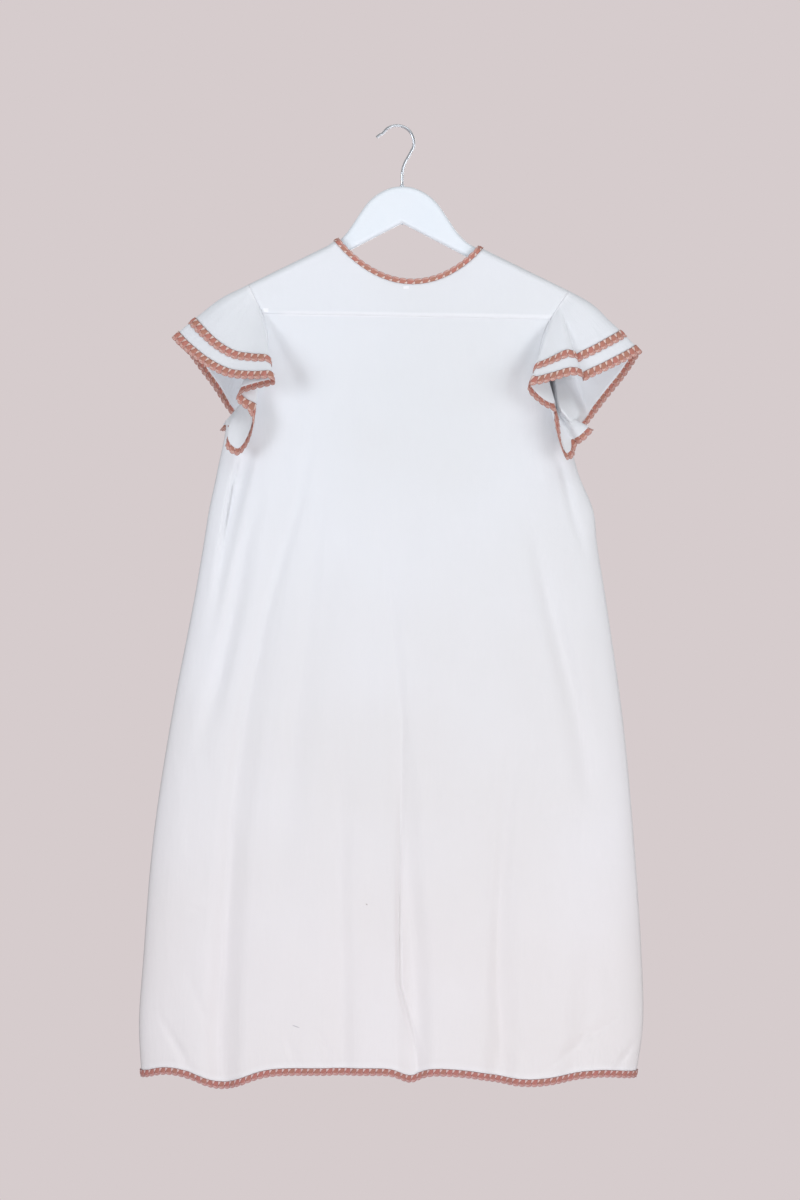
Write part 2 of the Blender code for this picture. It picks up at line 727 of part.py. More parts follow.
def neck_braid(braid):
    """The neckline's braid: along the back, over the right shoulder, home along the front."""
    columns = [neck_column(BACK, NECK_FROM_SHARE)]
    columns += [neck_column(BACK, share) for share in neck_shares(BACK)]
    columns.append(neck_column(BACK, NECK_TO_SHARE))
    columns += [neck_column(FRONT, share) for share in reversed(neck_shares(FRONT))]
    rows = [NECK_BRAID_TO, blend(NECK_BRAID_FROM, NECK_BRAID_TO, 0.5), NECK_BRAID_FROM]
    ring_of_braid("neck_braid", columns, rows, braid)


def braids(braid):
    hem_braid(braid)
    neck_braid(braid)
    spans = (("left", LEFT, LEFT_SLEEVE, -6, 9.5), ("right", RIGHT, RIGHT_SLEEVE, -6, 13))
    for word, side, stations, first, last in spans:
        whole = sleeve_columns(0, len(stations))
        sleeve_braid(f"{word}_edge_braid", side, whole, EDGE_BRAID_ROWS, braid, True)
        part = sleeve_columns(first, last)
        sleeve_braid(f"{word}_upper_braid", side, part, UPPER_BRAID_ROWS, braid, False)


def hanger_outline():
    """The flat body's outline, clockwise from the middle of its top, as x and drop."""
    arm_end = HANGER_HALF_SPAN
    top = [*HANGER_CROWN, Point(90, ARM_TOP_DROP + ARM_SLOPE * 90)]
    straight_from = UNDERSIDE_PARALLEL_FROM
    elbow = APEX_DROP + UNDERSIDE_SLOPE * straight_from
    slope_angle = math.atan(ARM_SLOPE)
    run = arm_end - straight_from
    height = elbow - (ARM_TOP_DROP + ARM_SLOPE * straight_from)
    radius = 0.5 * height * math.cos(slope_angle)
    centre_x = arm_end - radius
    centre_drop = ARM_TOP_DROP + ARM_SLOPE * straight_from + height / 2
    centre_drop += ARM_SLOPE * (run - radius)
    for k in range(ARM_END_STEPS + 1):
        turn = math.pi / 2 - math.pi * k / ARM_END_STEPS - slope_angle
        top.append(Point(centre_x + radius * math.cos(turn), centre_drop - radius * math.sin(turn)))
    top += [Point(straight_from, elbow), Point(0, APEX_DROP)]
    right = [(point.x, point.drop) for point in top]
    left = [(-x, drop) for x, drop in reversed(right[1:-1])]
    return [(STEM_X + x, drop) for x, drop in right + left]


def stem_hole():
    """The cutter for the blind hole that takes the hook's stem."""
    mesh = bmesh.new()
    bmesh.ops.create_cone(
        mesh, segments=16, radius1=STEM_HOLE / 2 * MM, radius2=STEM_HOLE / 2 * MM,
        depth=2 * STEM_DEPTH * MM, cap_ends=True,
    )
    bmesh.ops.translate(mesh, verts=mesh.verts, vec=(STEM_X * MM, 0, -HANGER_CROWN[0].drop * MM))
    cutter = finished("stem_hole", mesh, None)
    cutter.hide_render = True
    cutter.display_type = "WIRE"
    return cutter


def hanger_body(paint):
    mesh = bmesh.new()
    half = HANGER_THICK / 2
    corners = [mesh.verts.new(Vector((x, -half, -drop)) * MM) for x, drop in hanger_outline()]
    face = mesh.faces.new(corners)
    made = bmesh.ops.extrude_face_region(mesh, geom=[face], use_keep_orig=True)
    moved = [item for item in made["geom"] if isinstance(item, bmesh.types.BMVert)]
    bmesh.ops.translate(mesh, verts=moved, vec=(0, HANGER_THICK * MM, 0))
    bmesh.ops.recalc_face_normals(mesh, faces=mesh.faces)
    rims = [edge for edge in mesh.edges if abs(edge.verts[0].co.y - edge.verts[1].co.y) < TINY * MM]
    bmesh.ops.bevel(
        mesh, geom=rims, offset=HANGER_ROUND * MM, offset_type="OFFSET", segments=3, profile=0.5,
        affect="EDGES", clamp_overlap=True, material=-1,
    )
    body = finished("hanger_body", mesh, paint)
    cut = body.modifiers.new("stem hole", "BOOLEAN")
    cut.operation = "DIFFERENCE"
    cut.object = stem_hole()


def hook(steel):
    arc = []
    for k in range(HOOK_ARC_STEPS + 1):
        turn = math.radians(blend(HOOK_ARC_FROM, HOOK_ARC_TO, k / HOOK_ARC_STEPS))
        centre_drop = HOOK_RADIUS - HOOK_WIRE / 2
        arc.append(Point(HOOK_RADIUS * math.cos(turn), centre_drop - HOOK_RADIUS * math.sin(turn)))
    stem_end = HANGER_CROWN[0].drop + STEM_DEPTH - STEM_ABOVE_HOLE_END
    stem = (Point(STEM_X, STEM_STRAIGHT_FROM), Point(STEM_X, stem_end))
    line = [*HOOK_TIP, *arc, *HOOK_BEND, *stem]
    curve = bpy.data.curves.new("hook", "CURVE")
    curve.dimensions = "3D"
    curve.bevel_depth = HOOK_WIRE / 2 * MM
    curve.bevel_resolution = 3
    curve.use_fill_caps = True
    spline = curve.splines.new("POLY")
    spline.points.add(len(line) - 1)
    for target, point in zip(spline.points, line):
        target.co = (point.x * MM, 0, -point.drop * MM, 1)
    curve.materials.append(steel)
    bpy.context.collection.objects.link(bpy.data.objects.new("hook", curve))


def main():
    for thing in list(bpy.data.objects):
        bpy.data.objects.remove(thing)
    fabric = material("cotton", (0.83, 0.82, 0.80), 0.9)
    braid = material("braid", (0.46, 0.20, 0.16), 0.85)
    paint = material("white_paint", (0.86, 0.90, 0.96), 0.35)
    steel = material("steel", (0.62, 0.64, 0.67), 0.2, 1.0)
    body_panels(fabric)
    sleeve("left_sleeve", LEFT, LEFT_SLEEVE, fabric)
    sleeve("right_sleeve", RIGHT, RIGHT_SLEEVE, fabric)
    braids(braid)
    hanger_body(paint)
    hook(steel)


main()
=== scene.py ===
"""Looks of a smock dress that hangs by its hanger's hook, with its back towards -Y.

Sizes are millimetres from the inside top of the hook. drop is the distance below it, so z is minus
drop. Cloth and braid are laid on the forms of the solids they stand for.
"""
import math
from collections import namedtuple

import bmesh
import bpy
import numpy as np
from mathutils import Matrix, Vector, noise


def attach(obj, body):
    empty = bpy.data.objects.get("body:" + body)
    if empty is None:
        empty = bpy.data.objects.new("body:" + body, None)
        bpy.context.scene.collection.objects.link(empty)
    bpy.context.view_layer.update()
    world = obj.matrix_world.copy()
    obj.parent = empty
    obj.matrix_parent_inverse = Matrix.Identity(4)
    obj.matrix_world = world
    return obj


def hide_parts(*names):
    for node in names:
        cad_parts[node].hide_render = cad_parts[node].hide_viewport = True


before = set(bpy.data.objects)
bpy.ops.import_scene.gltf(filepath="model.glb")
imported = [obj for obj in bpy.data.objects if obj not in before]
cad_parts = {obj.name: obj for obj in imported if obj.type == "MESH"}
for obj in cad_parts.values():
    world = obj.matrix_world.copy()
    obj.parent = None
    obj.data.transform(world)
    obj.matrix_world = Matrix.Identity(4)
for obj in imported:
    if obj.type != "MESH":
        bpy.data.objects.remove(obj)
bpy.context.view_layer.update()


def rows_of(kind, *rows):
    """A table whose columns are read by name."""
    return tuple(kind(*row) for row in rows)


MM = 0.001
LEFT, RIGHT = -1, 1
BACK, FRONT = -1, 1

# The body's sizes
HEM_DROP = 1131.0
UNDERARM_DROP = 352.0
YOKE_SEAM_DROP = 221.5
FRONT_BASE_DROP = 300.0
HEM_DIPS_FROM_DROP = 940.0
RIGHT_SIDE_LOWER = 7.0
LEVEL_AGAIN_DROP = 650.0
SECTION_POWER = 2.4
TOP_BAND = 8.0
BACK_SPAN = HEM_DROP - YOKE_SEAM_DROP
FRONT_SPAN = HEM_DROP - FRONT_BASE_DROP
YOKE_LAP = 7.0
YOKE_LIFT = 0.2
HEM_TURNING = 14.0

# Shoulders, neck and armholes
STEM_X = 6.2
ARM_TOP_DROP = 101.5
ARM_SLOPE = 0.4895
NECK_RISE_FROM = 90.0
NECK_RISE = 0.17
SHOULDER_ABOVE_ARM = 2.8
SHOULDER_ROUND = 9.0
NECK_FROM_SHARE = 0.2820
NECK_TO_SHARE = 0.7160
BACK_NECK_DEPTH = 44.6
FRONT_NECK_DEPTH = 130.0
NECK_POWER = 0.93
ARMHOLE_INSET = 36.0
ARMHOLE_LOWER_POWER = 0.7

Point = namedtuple("Point", "x drop")
LEFT_TIP = Point(-178.3, 189.0)
RIGHT_TIP = Point(206.3, 196.6)
# Where the armhole ends and the side seam begins
LEFT_UNDERARM_X = -205.0
RIGHT_UNDERARM_X = 206.0

# Cloth, braid and their grids
CLOTH = 0.8
BRAID_THICK = 0.7
BRAID_OFF = 0.25
CELL = 3.9
SLEEVE_COLUMNS = 11
SLEEVE_ROWS = 40
BRAID_COLUMNS = 14
BRAID_ROWS = 12
# How far the waves of worn cloth stand out on the body, broad and fine, and on the sleeves
BROAD_WAVE, FINE_WAVE, RIPPLE = 1.5, 0.45, 0.9
CRUMPLE_SEEDS = {BACK: 3.0, FRONT: 41.0}
# The weave's threads are this far apart, as in a plain slubby cotton, in metres
THREAD_SPACING = 0.00055

# The braid's motif: its length on each band, how far the scallops are cut in, and how the ovals
# lean and lie across it
HEM_MOTIF, NECK_MOTIF, SLEEVE_MOTIF = 7.5, 9.2, 8.4
SCALLOP = 0.22
OVAL_LEAN = -0.45
OVAL_MIDDLE = 0.36

Section = namedtuple("Section", "drop left right back front")
# The body's outline, and how far its back and front stand from the hanger's plane
SECTIONS = rows_of(
    Section,
    (130, -262, 282, 12, 12),
    (200, -232, 252, 12, 12),
    (280, -214, 224, 17, 19),
    (352, -205, 206, 24, 28),
    (412, -215.5, 216.5, 29, 34),
    (460, -225.6, 235.4, 32, 37),
    (500, -232, 240, 34, 39),
    (568, -243.6, 250.8, 37, 42),
    (712, -271.2, 271.2, 42, 46),
    (856, -292.8, 284.4, 46, 50),
    (1000, -304.8, 294, 49, 53),
    (1072, -309.6, 295.2, 50, 54),
    (1140, -306, 285, 50, 54),
)

Fold = namedtuple("Fold", "top bottom peak share_top share_mid share_bottom half_width depth")
# Broad troughs, from top drop to bottom drop, deepest at the peak share of their length
BACK_FOLDS = rows_of(
    Fold,
    (290, 1190, 0.95, 0.205, 0.172, 0.170, 26, 10),
    (372, 660, 0.15, 0.084, 0.060, 0.062, 13, 7),
    (430, 800, 0.50, 0.120, 0.100, 0.070, 20, 4),
    (440, 1010, 0.60, 0.330, 0.290, 0.270, 26, 3),
    (720, 1200, 0.90, 0.365, 0.390, 0.410, 26, 4),
    (400, 1200, 0.92, 0.435, 0.515, 0.556, 24, 9),
    (700, 1200, 0.90, 0.750, 0.718, 0.728, 24, 8),
    (420, 860, 0.50, 0.820, 0.880, 0.915, 22, 5),
    (900, 1200, 0.85, 0.905, 0.880, 0.860, 24, 5),
)
FRONT_FOLDS = rows_of(
    Fold,
    (300, 1190, 0.95, 0.180, 0.150, 0.140, 26, 15),
    (380, 700, 0.20, 0.060, 0.055, 0.070, 14, 7),
    (330, 1200, 0.92, 0.340, 0.300, 0.285, 26, 15),
    (640, 1200, 0.90, 0.430, 0.440, 0.430, 24, 9),
    (320, 1200, 0.92, 0.590, 0.600, 0.590, 26, 16),
    (760, 1200, 0.90, 0.740, 0.735, 0.725, 24, 9),
    (300, 1190, 0.95, 0.810, 0.850, 0.865, 26, 15),
)

# Narrow creases over the broad troughs. Each row says how sharp it is, from 0, round, to 1, a folded
# line, and then its knots: x, drop, half width, depth.
BACK_CREASES = (
    (0.5, ((-92, 316, 12, 0), (-116, 450, 10, 2.8), (-157, 590, 11, 3.2), (-182, 710, 11, 3.0),
           (-197, 816, 11, 3.0), (-199, 886, 10, 3.6), (-206, 991, 9, 3.4),
           (-214, 1097, 9, 2.8), (-211, 1136, 9, 1.5))),
    (0.2, ((-155, 421, 13, 0), (-183, 512, 13, 2.4), (-211, 661, 14, 2.4), (-236, 745, 15, 0))),
    (0.9, ((-178, 378, 6, 0), (-188, 400, 7, 4.0), (-197, 432, 6, 6.5), (-203, 466, 5.5, 7.0),
           (-207, 494, 7, 3.0), (-213, 540, 9, 1.8), (-218, 600, 9, 0))),
    (0.2, ((-86, 394, 15, 0), (-100, 534, 15, 1.8), (-121, 710, 17, 2.0), (-139, 851, 18, 0))),
    (0.2, ((-83, 724, 14, 0), (-68, 787, 14, 1.8), (-65, 872, 14, 2.0), (-62, 1129, 14, 1.4))),
    (0.8, ((-30, 394, 16, 0), (-14, 534, 14, 1.2), (1, 647, 11, 1.4), (7, 716, 9, 1.8),
           (5, 802, 8, 2.4), (4, 872, 6.5, 3.4), (2, 956, 5.5, 4.4), (3, 1024, 5.5, 4.6),
           (12, 1058, 5.5, 4.2), (20, 1088, 6, 3.2), (25, 1126, 8, 1.6))),
    (0.3, ((41, 745, 12, 0), (43, 800, 12, 1.8), (44, 851, 12, 0))),
    (0.6, ((138, 710, 13, 0), (134, 780, 12, 2.4), (127, 872, 11, 3.0), (120, 956, 11, 3.0),
           (118, 1040, 11, 2.6), (127, 1118, 11, 1.4))),
    (0.3, ((154, 443, 13, 0), (181, 569, 14, 2.4), (210, 674, 14, 2.6), (223, 745, 14, 2.0),
           (230, 816, 14, 0))),
    (0.5, ((188, 392, 8, 0), (198, 410, 9, 3.0), (210, 463, 10, 3.2), (230, 527, 11, 0))),
    (0.5, ((-284, 1062, 8, 0), (-264, 1096, 8, 3.0), (-240, 1140, 9, 1.4))),
    (0.5, ((-250, 1010, 7, 0), (-232, 1056, 7, 2.8), (-214, 1097, 8, 0))),
    (0.4, ((-252, 932, 8, 0), (-238, 938, 8, 1.6), (-221, 942, 8, 0))),
    (0.5, ((-100, 1070, 8, 0), (-84, 1100, 8, 2.6), (-70, 1136, 8, 1.0))),
    (0.4, ((-136, 1080, 9, 0), (-124, 1106, 9, 1.8), (-112, 1136, 9, 0.6))),
    (0.5, ((172, 1132, 9, 0.8), (226, 1088, 9, 3.2), (276, 1058, 9, 0))),
    (0.5, ((256, 1138, 8, 0.6), (274, 1110, 8, 2.8), (292, 1086, 8, 0))),
    (0.4, ((130, 1066, 10, 0), (146, 1098, 10, 1.8), (170, 1134, 10, 0.6))),
    (0.4, ((154, 1009, 10, 0), (166, 1022, 10, 1.4), (180, 1030, 10, 0))),
    (0.4, ((160, 829, 12, 0), (184, 818, 12, 1.6), (203, 809, 12, 0))),
    (0.2, ((-46, 240, 26, 0), (-60, 330, 26, 0.8), (-66, 430, 26, 0))),
    (0.2, ((96, 236, 24, 0), (88, 320, 26, 0.9), (92, 420, 26, 0))),
    (0.2, ((-160, 214, 12, 0), (-143, 262, 16, 3.0), (-124, 302, 20, 3.6), (-118, 340, 20, 0))),
    (0.2, ((188, 226, 12, 0), (166, 262, 16, 3.0), (150, 300, 20, 4.0), (150, 346, 20, 0))),
)
FRONT_CREASES = (
    (0.5, ((-92, 330, 14, 0), (-126, 470, 13, 2.4), (-170, 640, 14, 2.6), (-205, 830, 13, 3.4),
           (-214, 980, 12, 4.0), (-218, 1134, 11, 2.0))),
    (0.3, ((-40, 420, 15, 0), (-72, 620, 15, 1.8), (-98, 860, 14, 3.0), (-104, 1130, 12, 2.4))),
    (0.7, ((30, 380, 15, 0), (44, 560, 13, 1.9), (54, 760, 12, 3.2), (50, 960, 10, 4.6),
           (60, 1126, 10, 2.4))),
    (0.3, ((130, 760, 13, 0), (128, 900, 12, 2.8), (134, 1120, 12, 1.8))),
    (0.4, ((146, 400, 13, 0), (186, 580, 14, 2.4), (214, 760, 14, 2.8), (226, 960, 13, 3.2),
           (222, 1128, 11, 1.6))),
    (0.4, ((-286, 1070, 9, 0), (-264, 1104, 9, 2.0), (-250, 1134, 10, 1.0))),
    (0.4, ((164, 1128, 9, 0.6), (196, 1092, 10, 2.0), (236, 1064, 10, 0))),
    (0.2, ((-30, 300, 22, 0), (-34, 380, 24, 0.9), (-28, 480, 24, 0))),
)

# Where the hem hangs lower: x, width, depth
SIDE_HEM_DIPS = ((-306, 20, 6.5), (290, 42, 7.0))
BACK_HEM_DIPS = SIDE_HEM_DIPS + ((-208, 38, 18), (16, 16, 9), (160, 62, 14))
FRONT_HEM_DIPS = SIDE_HEM_DIPS + ((-190, 50, 9), (-40, 45, 6), (110, 50, 8), (225, 30, 5))

# Each station ties a place on the armhole seam to a place on the sleeve's edge: seam, x, y, drop and
# the push, in x, y and drop, that bends the cloth between the two. seam runs from 0 at the shoulder
# down the back to 1 at the underarm, and up the front to 2.
LEFT_SLEEVE = (
    (0.000, -270, 0, 253, 0, 0, -8),
    (0.012, -263, -8, 261, 0, -3, -8),
    (0.040, -251, -17, 272, 0, -3, -4),
    (0.070, -230, -30, 288, 0, -3, 0),
    (0.100, -203, -42, 302, 0, -2, 0),
    (0.130, -174, -54, 306, 0, 0, 0),
    (0.165, -151, -63, 306, 0, 0, 0),
    (0.210, -146, -60, 312, 0, 0, 0),
    (0.300, -166, -50, 316, 0, 0, 0),
    (0.400, -189, -40, 323, -3, 0, 0),
    (0.480, -190, -38, 332, -3, 0, 0),
    (0.580, -176, -44, 345, 0, 0, 0),
    (0.680, -172, -47, 362, 0, -2, 0),
    (0.780, -179, -44, 384, 0, -3, 0),
    (0.860, -191, -38, 395, 0, -3, 0),
    (0.920, -205, -30, 384, -3, -3, 0),
    (0.960, -199, -22, 369, -2, -2, 0),
    (1.000, -201, -8, 363, -2, 0, 0),
    (1.100, -213, 9, 363, -4, 2, 0),
    (1.350, -206, 36, 362, -3, 2, 0),
    (1.720, -196, 54, 350, 0, 2, 0),
    (1.820, -207, 57, 336, 0, 2, 0),
    (1.880, -222, 45, 312, 0, 3, 0),
    (1.925, -238, 31, 290, 0, 3, -1),
    (1.960, -252, 16, 271, 0, 3, -4),
    (1.988, -263, 8, 261, 0, 3, -8),
)
RIGHT_SLEEVE = (
    (0.000, 294, 0, 270, 0, 0, -9),
    (0.012, 287, -7, 275, 0, -3, -8),
    (0.040, 272, -15, 283, 0, -3, -4),
    (0.065, 252, -23, 293, 0, -3, 0),
    (0.085, 233, -28, 302, 0, -3, 0),
    (0.100, 222, -31, 307, 0, -2, 0),
    (0.115, 221, -39, 303, 0, -2, 0),
    (0.130, 208, -45, 301, 0, -2, 0),
    (0.150, 188, -51, 307, 0, 0, 0),
    (0.175, 170, -58, 312, 0, 0, 0),
    (0.205, 157, -63, 315, 0, 0, 0),
    (0.250, 158, -59, 323, 0, 0, 0),
    (0.340, 173, -51, 336, 0, 0, 0),
    (0.430, 190, -42, 345, 0, 0, 0),
    (0.520, 194, -44, 360, 2, 0, 0),
    (0.600, 196, -48, 382, 0, -2, 0),
    (0.670, 202, -45, 400, 0, -3, 0),
    (0.730, 211, -37, 396, 0, -2, 0),
    (0.780, 214, -30, 384, 2, 0, 0),
    (0.840, 223, -38, 377, 0, -4, 0),
    (0.900, 234, -34, 365, 3, -4, 0),
    (0.950, 230, -19, 366, 4, -2, 0),
    (1.000, 220, -2, 378, 2, 0, 0),
    (1.100, 220, 13, 375, 4, 2, 0),
    (1.350, 224, 34, 364, 3, 2, 0),
    (1.720, 235, 48, 350, 0, 2, 0),
    (1.820, 246, 42, 335, 0, 2, 0),
    (1.880, 260, 33, 317, 0, 3, 0),
    (1.930, 273, 24, 301, 0, 3, -1),
    (1.965, 284, 14, 285, 0, 3, -4),
    (1.988, 290, 7, 275, 0, 3, -8),
)
# How far along the sleeve the push is greatest
LEFT_PUSH_PEAK = 0.42
RIGHT_PUSH_PEAK = 0.30
SLEEVES = {LEFT: (LEFT_SLEEVE, LEFT_PUSH_PEAK), RIGHT: (RIGHT_SLEEVE, RIGHT_PUSH_PEAK)}

Tongue = namedtuple("Tongue", "drop left right depth")
# The soft fold of the right sleeve's far half, towards the back
SLEEVE_TONGUE = rows_of(
    Tongue,
    (266, 180, 206, 0), (300, 184, 211, 26), (330, 187, 222, 47),
    (345, 192, 229, 52), (356, 197, 234, 48), (370, 202, 238, 32),
    (384, 207, 240, 8),
)

# The hanger: its crown's outline by distance from the stem, and its other sizes
HANGER_CROWN = rows_of(
    Point,
    (0, 71.2), (10, 72.2), (20, 75.5), (30, 81.0), (40.5, 90.0),
    (48.5, 100.5), (55, 110.5), (61, 119.4), (66, 126.6), (71, 132.2),
    (77, 138.0), (83, 142.0), (90, 145.6), (110, 155.3),
)
HANGER_THICK = 12.0
HANGER_ROUND = 5.4
HANGER_HALF_SPAN = 219.0
APEX_DROP = 115.8
UNDERSIDE_SLOPE = 0.519
UNDERSIDE_PARALLEL_FROM = 90.0
HOOK_WIRE = 3.5
WIRE_END_ROUND = 0.5
COLLAR_THICK = 0.4
# Degrees between two faces from which their edge looks sharp
SHARP_FROM = 50
HOOK_LINE = (
    (-24.5, 12.6), (-20.8, 9.6), (-16.9, 7.5), (-11.4, 1.75), (-4.0, -1.3),
    (4.0, -1.3), (11.4, 1.75), (16.9, 7.3), (19.9, 14.9), (20.0, 22.9),
    (16.9, 29.6), (14.3, 34.6), (10.4, 41.2), (7.7, 48.0), (6.4, 55.0),
    (6.2, 62.0), (6.2, 76.0),
)
# Outlines turned about the stem's line, radius and drop: its end under the wood and its collar
STEM_END = ((0.5, 117.6), (1.1, 117.4), (1.5, 116.8), (1.5, 112.5))
COLLAR = ((1.8, 69.3), (2.4, 69.5), (2.7, 70.2), (2.7, 71.8))

# Distances from the sleeve's braided edge, each limited to a share of the sleeve's length
SLEEVE_CLOTH_END = (8.0, 0.40)
UPPER_BRAID = ((34.5, 0.80), (24.0, 0.66))
EDGE_BRAID = ((10.6, 0.49), (-0.4, 0.0))
# From and to which station the upper braid runs
UPPER_SPANS = {LEFT: (-6, 9.5), RIGHT: (-6, 13)}
# Steps that a sleeve's form has to a station. Where the sleeve runs aslant to its edge, the edge's
# braid is widened up to this many times, smoothed over so many steps to each side.
FINE_STEPS = 60
MOST_SLANT = 2.7
SLANT_SOFT = 30
# Straight edge and shells of the hem's braid, above the hem, and of the neck's, from the neckline
HEM_BRAID = (7.5, -1.4)
NECK_BRAID = (6.5, -0.2)

# The studio, in metres
CAMERA_LENS = 112.5
CAMERA_PLACE = (0.0036, -4.5, -0.5676)
FLOOR_Z = -2.2
FLOOR_RADIUS = 5.0
BACKDROP = "#d6cccd"
SOFT_LIGHT = (1.005, 0.99, 0.985, 1.0)
SOFT_LIGHT_STRENGTH = 0.36
# Name, place, what it is aimed at, width and height, watts, colour
LAMPS = (
    ("key", (-2.9, -2.4, -0.3), (0, 0, -0.62), (1.2, 1.8), 42, "#f1f6ff"),
    ("fill", (2.6, -2.5, -0.7), (0, 0, -0.6), (2.0, 2.0), 35, "#f6f9ff"),
    ("low", (0.4, -2.2, -1.55), (0, 0, -1.0), (1.8, 0.7), 15, "#f8fbff"),
    ("top", (0.4, -1.4, 1.3), (0, 0, -0.2), (1.6, 1.0), 8, "#f8fbff"),
    ("rear", (0.6, 2.8, -0.2), (0, 0, -0.6), (2.0, 2.0), 40, "#ffffff"),
)


def blend(a, b, share):
    return a + (b - a) * share


def ease(share):
    share = np.clip(share, 0.0, 1.0)
    return share * share * (3 - 2 * share)


def along_table(rows, at, column):
    """A smooth curve through one column of a table whose first column rises."""
    knots = np.array([row[0] for row in rows], float)
    values = np.array([getattr(row, column) for row in rows], float)
    i = np.searchsorted(knots[1:-1], at, side="right")
    slopes = np.empty(len(rows))
    slopes[1:-1] = (values[2:] - values[:-2]) / (knots[2:] - knots[:-2])
    slopes[0] = (values[1] - values[0]) / (knots[1] - knots[0])
    slopes[-1] = (values[-1] - values[-2]) / (knots[-1] - knots[-2])
    span = knots[i + 1] - knots[i]
    share = np.clip((at - knots[i]) / span, 0.0, 1.0)
    square, cube = share**2, share**3
    return (
        (2 * cube - 3 * square + 1) * values[i]
        + (cube - 2 * square + share) * span * slopes[i]
        + (3 * square - 2 * cube) * values[i + 1]
        + (cube - square) * span * slopes[i + 1]
    )


def lower_on_right(drop):
    """How much lower the right edge of a row lies than its left edge."""
    fade = 1 - ease((drop - UNDERARM_DROP) / (LEVEL_AGAIN_DROP - UNDERARM_DROP))
    return RIGHT_SIDE_LOWER * fade


def shoulder_drop(x):
    """Drop of the cloth's ridge on the hanger's arm, and of that line carried past it."""
    from_stem = np.abs(x - STEM_X)
    rise = NECK_RISE * np.maximum(0.0, NECK_RISE_FROM - from_stem)
    return ARM_TOP_DROP - SHOULDER_ABOVE_ARM + ARM_SLOPE * from_stem - rise


def side_edge(side, drop):
    """x of the panel's edge: the armhole above the underarm, the side seam below it."""
    tip = LEFT_TIP if side == LEFT else RIGHT_TIP
    underarm_x = LEFT_UNDERARM_X if side == LEFT else RIGHT_UNDERARM_X
    underarm_drop = UNDERARM_DROP + (RIGHT_SIDE_LOWER if side == RIGHT else 0.0)
    share = np.clip((drop - tip.drop) / (underarm_drop - tip.drop), 0.0, 1.0)
    curve = np.sin(np.pi * share)
    inset = ARMHOLE_INSET * np.where(share < 0.5, curve, np.abs(curve) ** ARMHOLE_LOWER_POWER)
    armhole = blend(tip.x, underarm_x, share) - side * inset
    seam = along_table(SECTIONS, drop, "left" if side == LEFT else "right")
    return np.where(drop >= underarm_drop, seam, armhole)


def fold_depth(folds, share, drop, width):
    """How far the broad folds push the cloth inwards here."""
    total = 0.0
    for fold in folds:
        along = np.clip((drop - fold.top) / (fold.bottom - fold.top), 0.0, 1.0)
        early = fold.share_top * (1 - along) ** 2 + fold.share_bottom * along**2
        middle = 2 * fold.share_mid - (fold.share_top + fold.share_bottom) / 2
        centre = early + 2 * along * (1 - along) * middle
        across = np.clip((share - centre) * width / fold.half_width, -1.0, 1.0)
        swell = np.where(along < fold.peak, along / fold.peak, (1 - along) / (1 - fold.peak))
        total = total + fold.depth * ease(swell) * 0.5 * (1 + np.cos(np.pi * across))
    return total


def crease_depth(creases, x, drop):
    """How far the narrow creases push the cloth inwards here."""
    total = np.zeros(np.broadcast(x, drop).shape)
    for sharp, knots in creases:
        knots = np.array(knots, float)
        nearest = np.full(total.shape, 1e9)
        pushed = np.zeros(total.shape)
        for here, there in zip(knots, knots[1:]):
            run_x, run_drop = there[0] - here[0], there[1] - here[1]
            along = ((x - here[0]) * run_x + (drop - here[1]) * run_drop) / (run_x**2 + run_drop**2)
            along = np.clip(along, 0.0, 1.0)
            away = np.hypot(x - here[0] - along * run_x, drop - here[1] - along * run_drop)
            across = np.minimum(away / blend(here[2], there[2], along), 1.0)
            round_one = 0.5 * (1 + np.cos(np.pi * across))
            folded = (1 - across) ** 2
            value = blend(here[3], there[3], along) * blend(round_one, folded, sharp)
            pushed = np.where(away < nearest, value, pushed)
            nearest = np.minimum(nearest, away)
        total += pushed
    return total


def crumple(x, drop, seed):
    """Low waves of worn cloth, longer down the cloth than across it."""
    out = np.empty(x.shape)
    for at in np.ndindex(out.shape):
        u, v = x[at], drop[at]
        broad = noise.noise(Vector(((u + 0.12 * v) / 46, v / 170, seed)))
        fine = noise.noise(Vector(((u - 0.2 * v) / 17, v / 64, seed + 9.5)))
        out[at] = BROAD_WAVE * broad + FINE_WAVE * fine
    return out


def body_depth(face, share, x, drop, row):
    """Distance of the body's outer face from the plane of the hanger. row holds the drops of the
    row's left and right ends, which give its outline."""
    left = along_table(SECTIONS, row[0], "left")
    right = along_table(SECTIONS, row[1], "right")
    across = np.minimum(np.abs(2 * (x - left) / (right - left) - 1), 1.0)
    roundness = (1 - across**SECTION_POWER) ** (1 / SECTION_POWER)
    under_ridge = np.clip((drop - shoulder_drop(x)) / SHOULDER_ROUND, 0.0, 1.0)
    rise = np.sqrt(1 - (1 - under_ridge) ** 2)
    half_depth = along_table(SECTIONS, drop, "back" if face == BACK else "front")
    folds = BACK_FOLDS if face == BACK else FRONT_FOLDS
    creases = BACK_CREASES if face == BACK else FRONT_CREASES
    fold = fold_depth(folds, share, drop, right - left) + crease_depth(creases, x, drop)
    fold = fold * np.minimum(1.0, 2 * roundness)
    return half_depth * roundness * rise - fold * rise


def hem_dip(face, x):
    dips = BACK_HEM_DIPS if face == BACK else FRONT_HEM_DIPS
    return sum(depth * np.exp(-(((x - middle) / width) ** 2)) for middle, width, depth in dips)


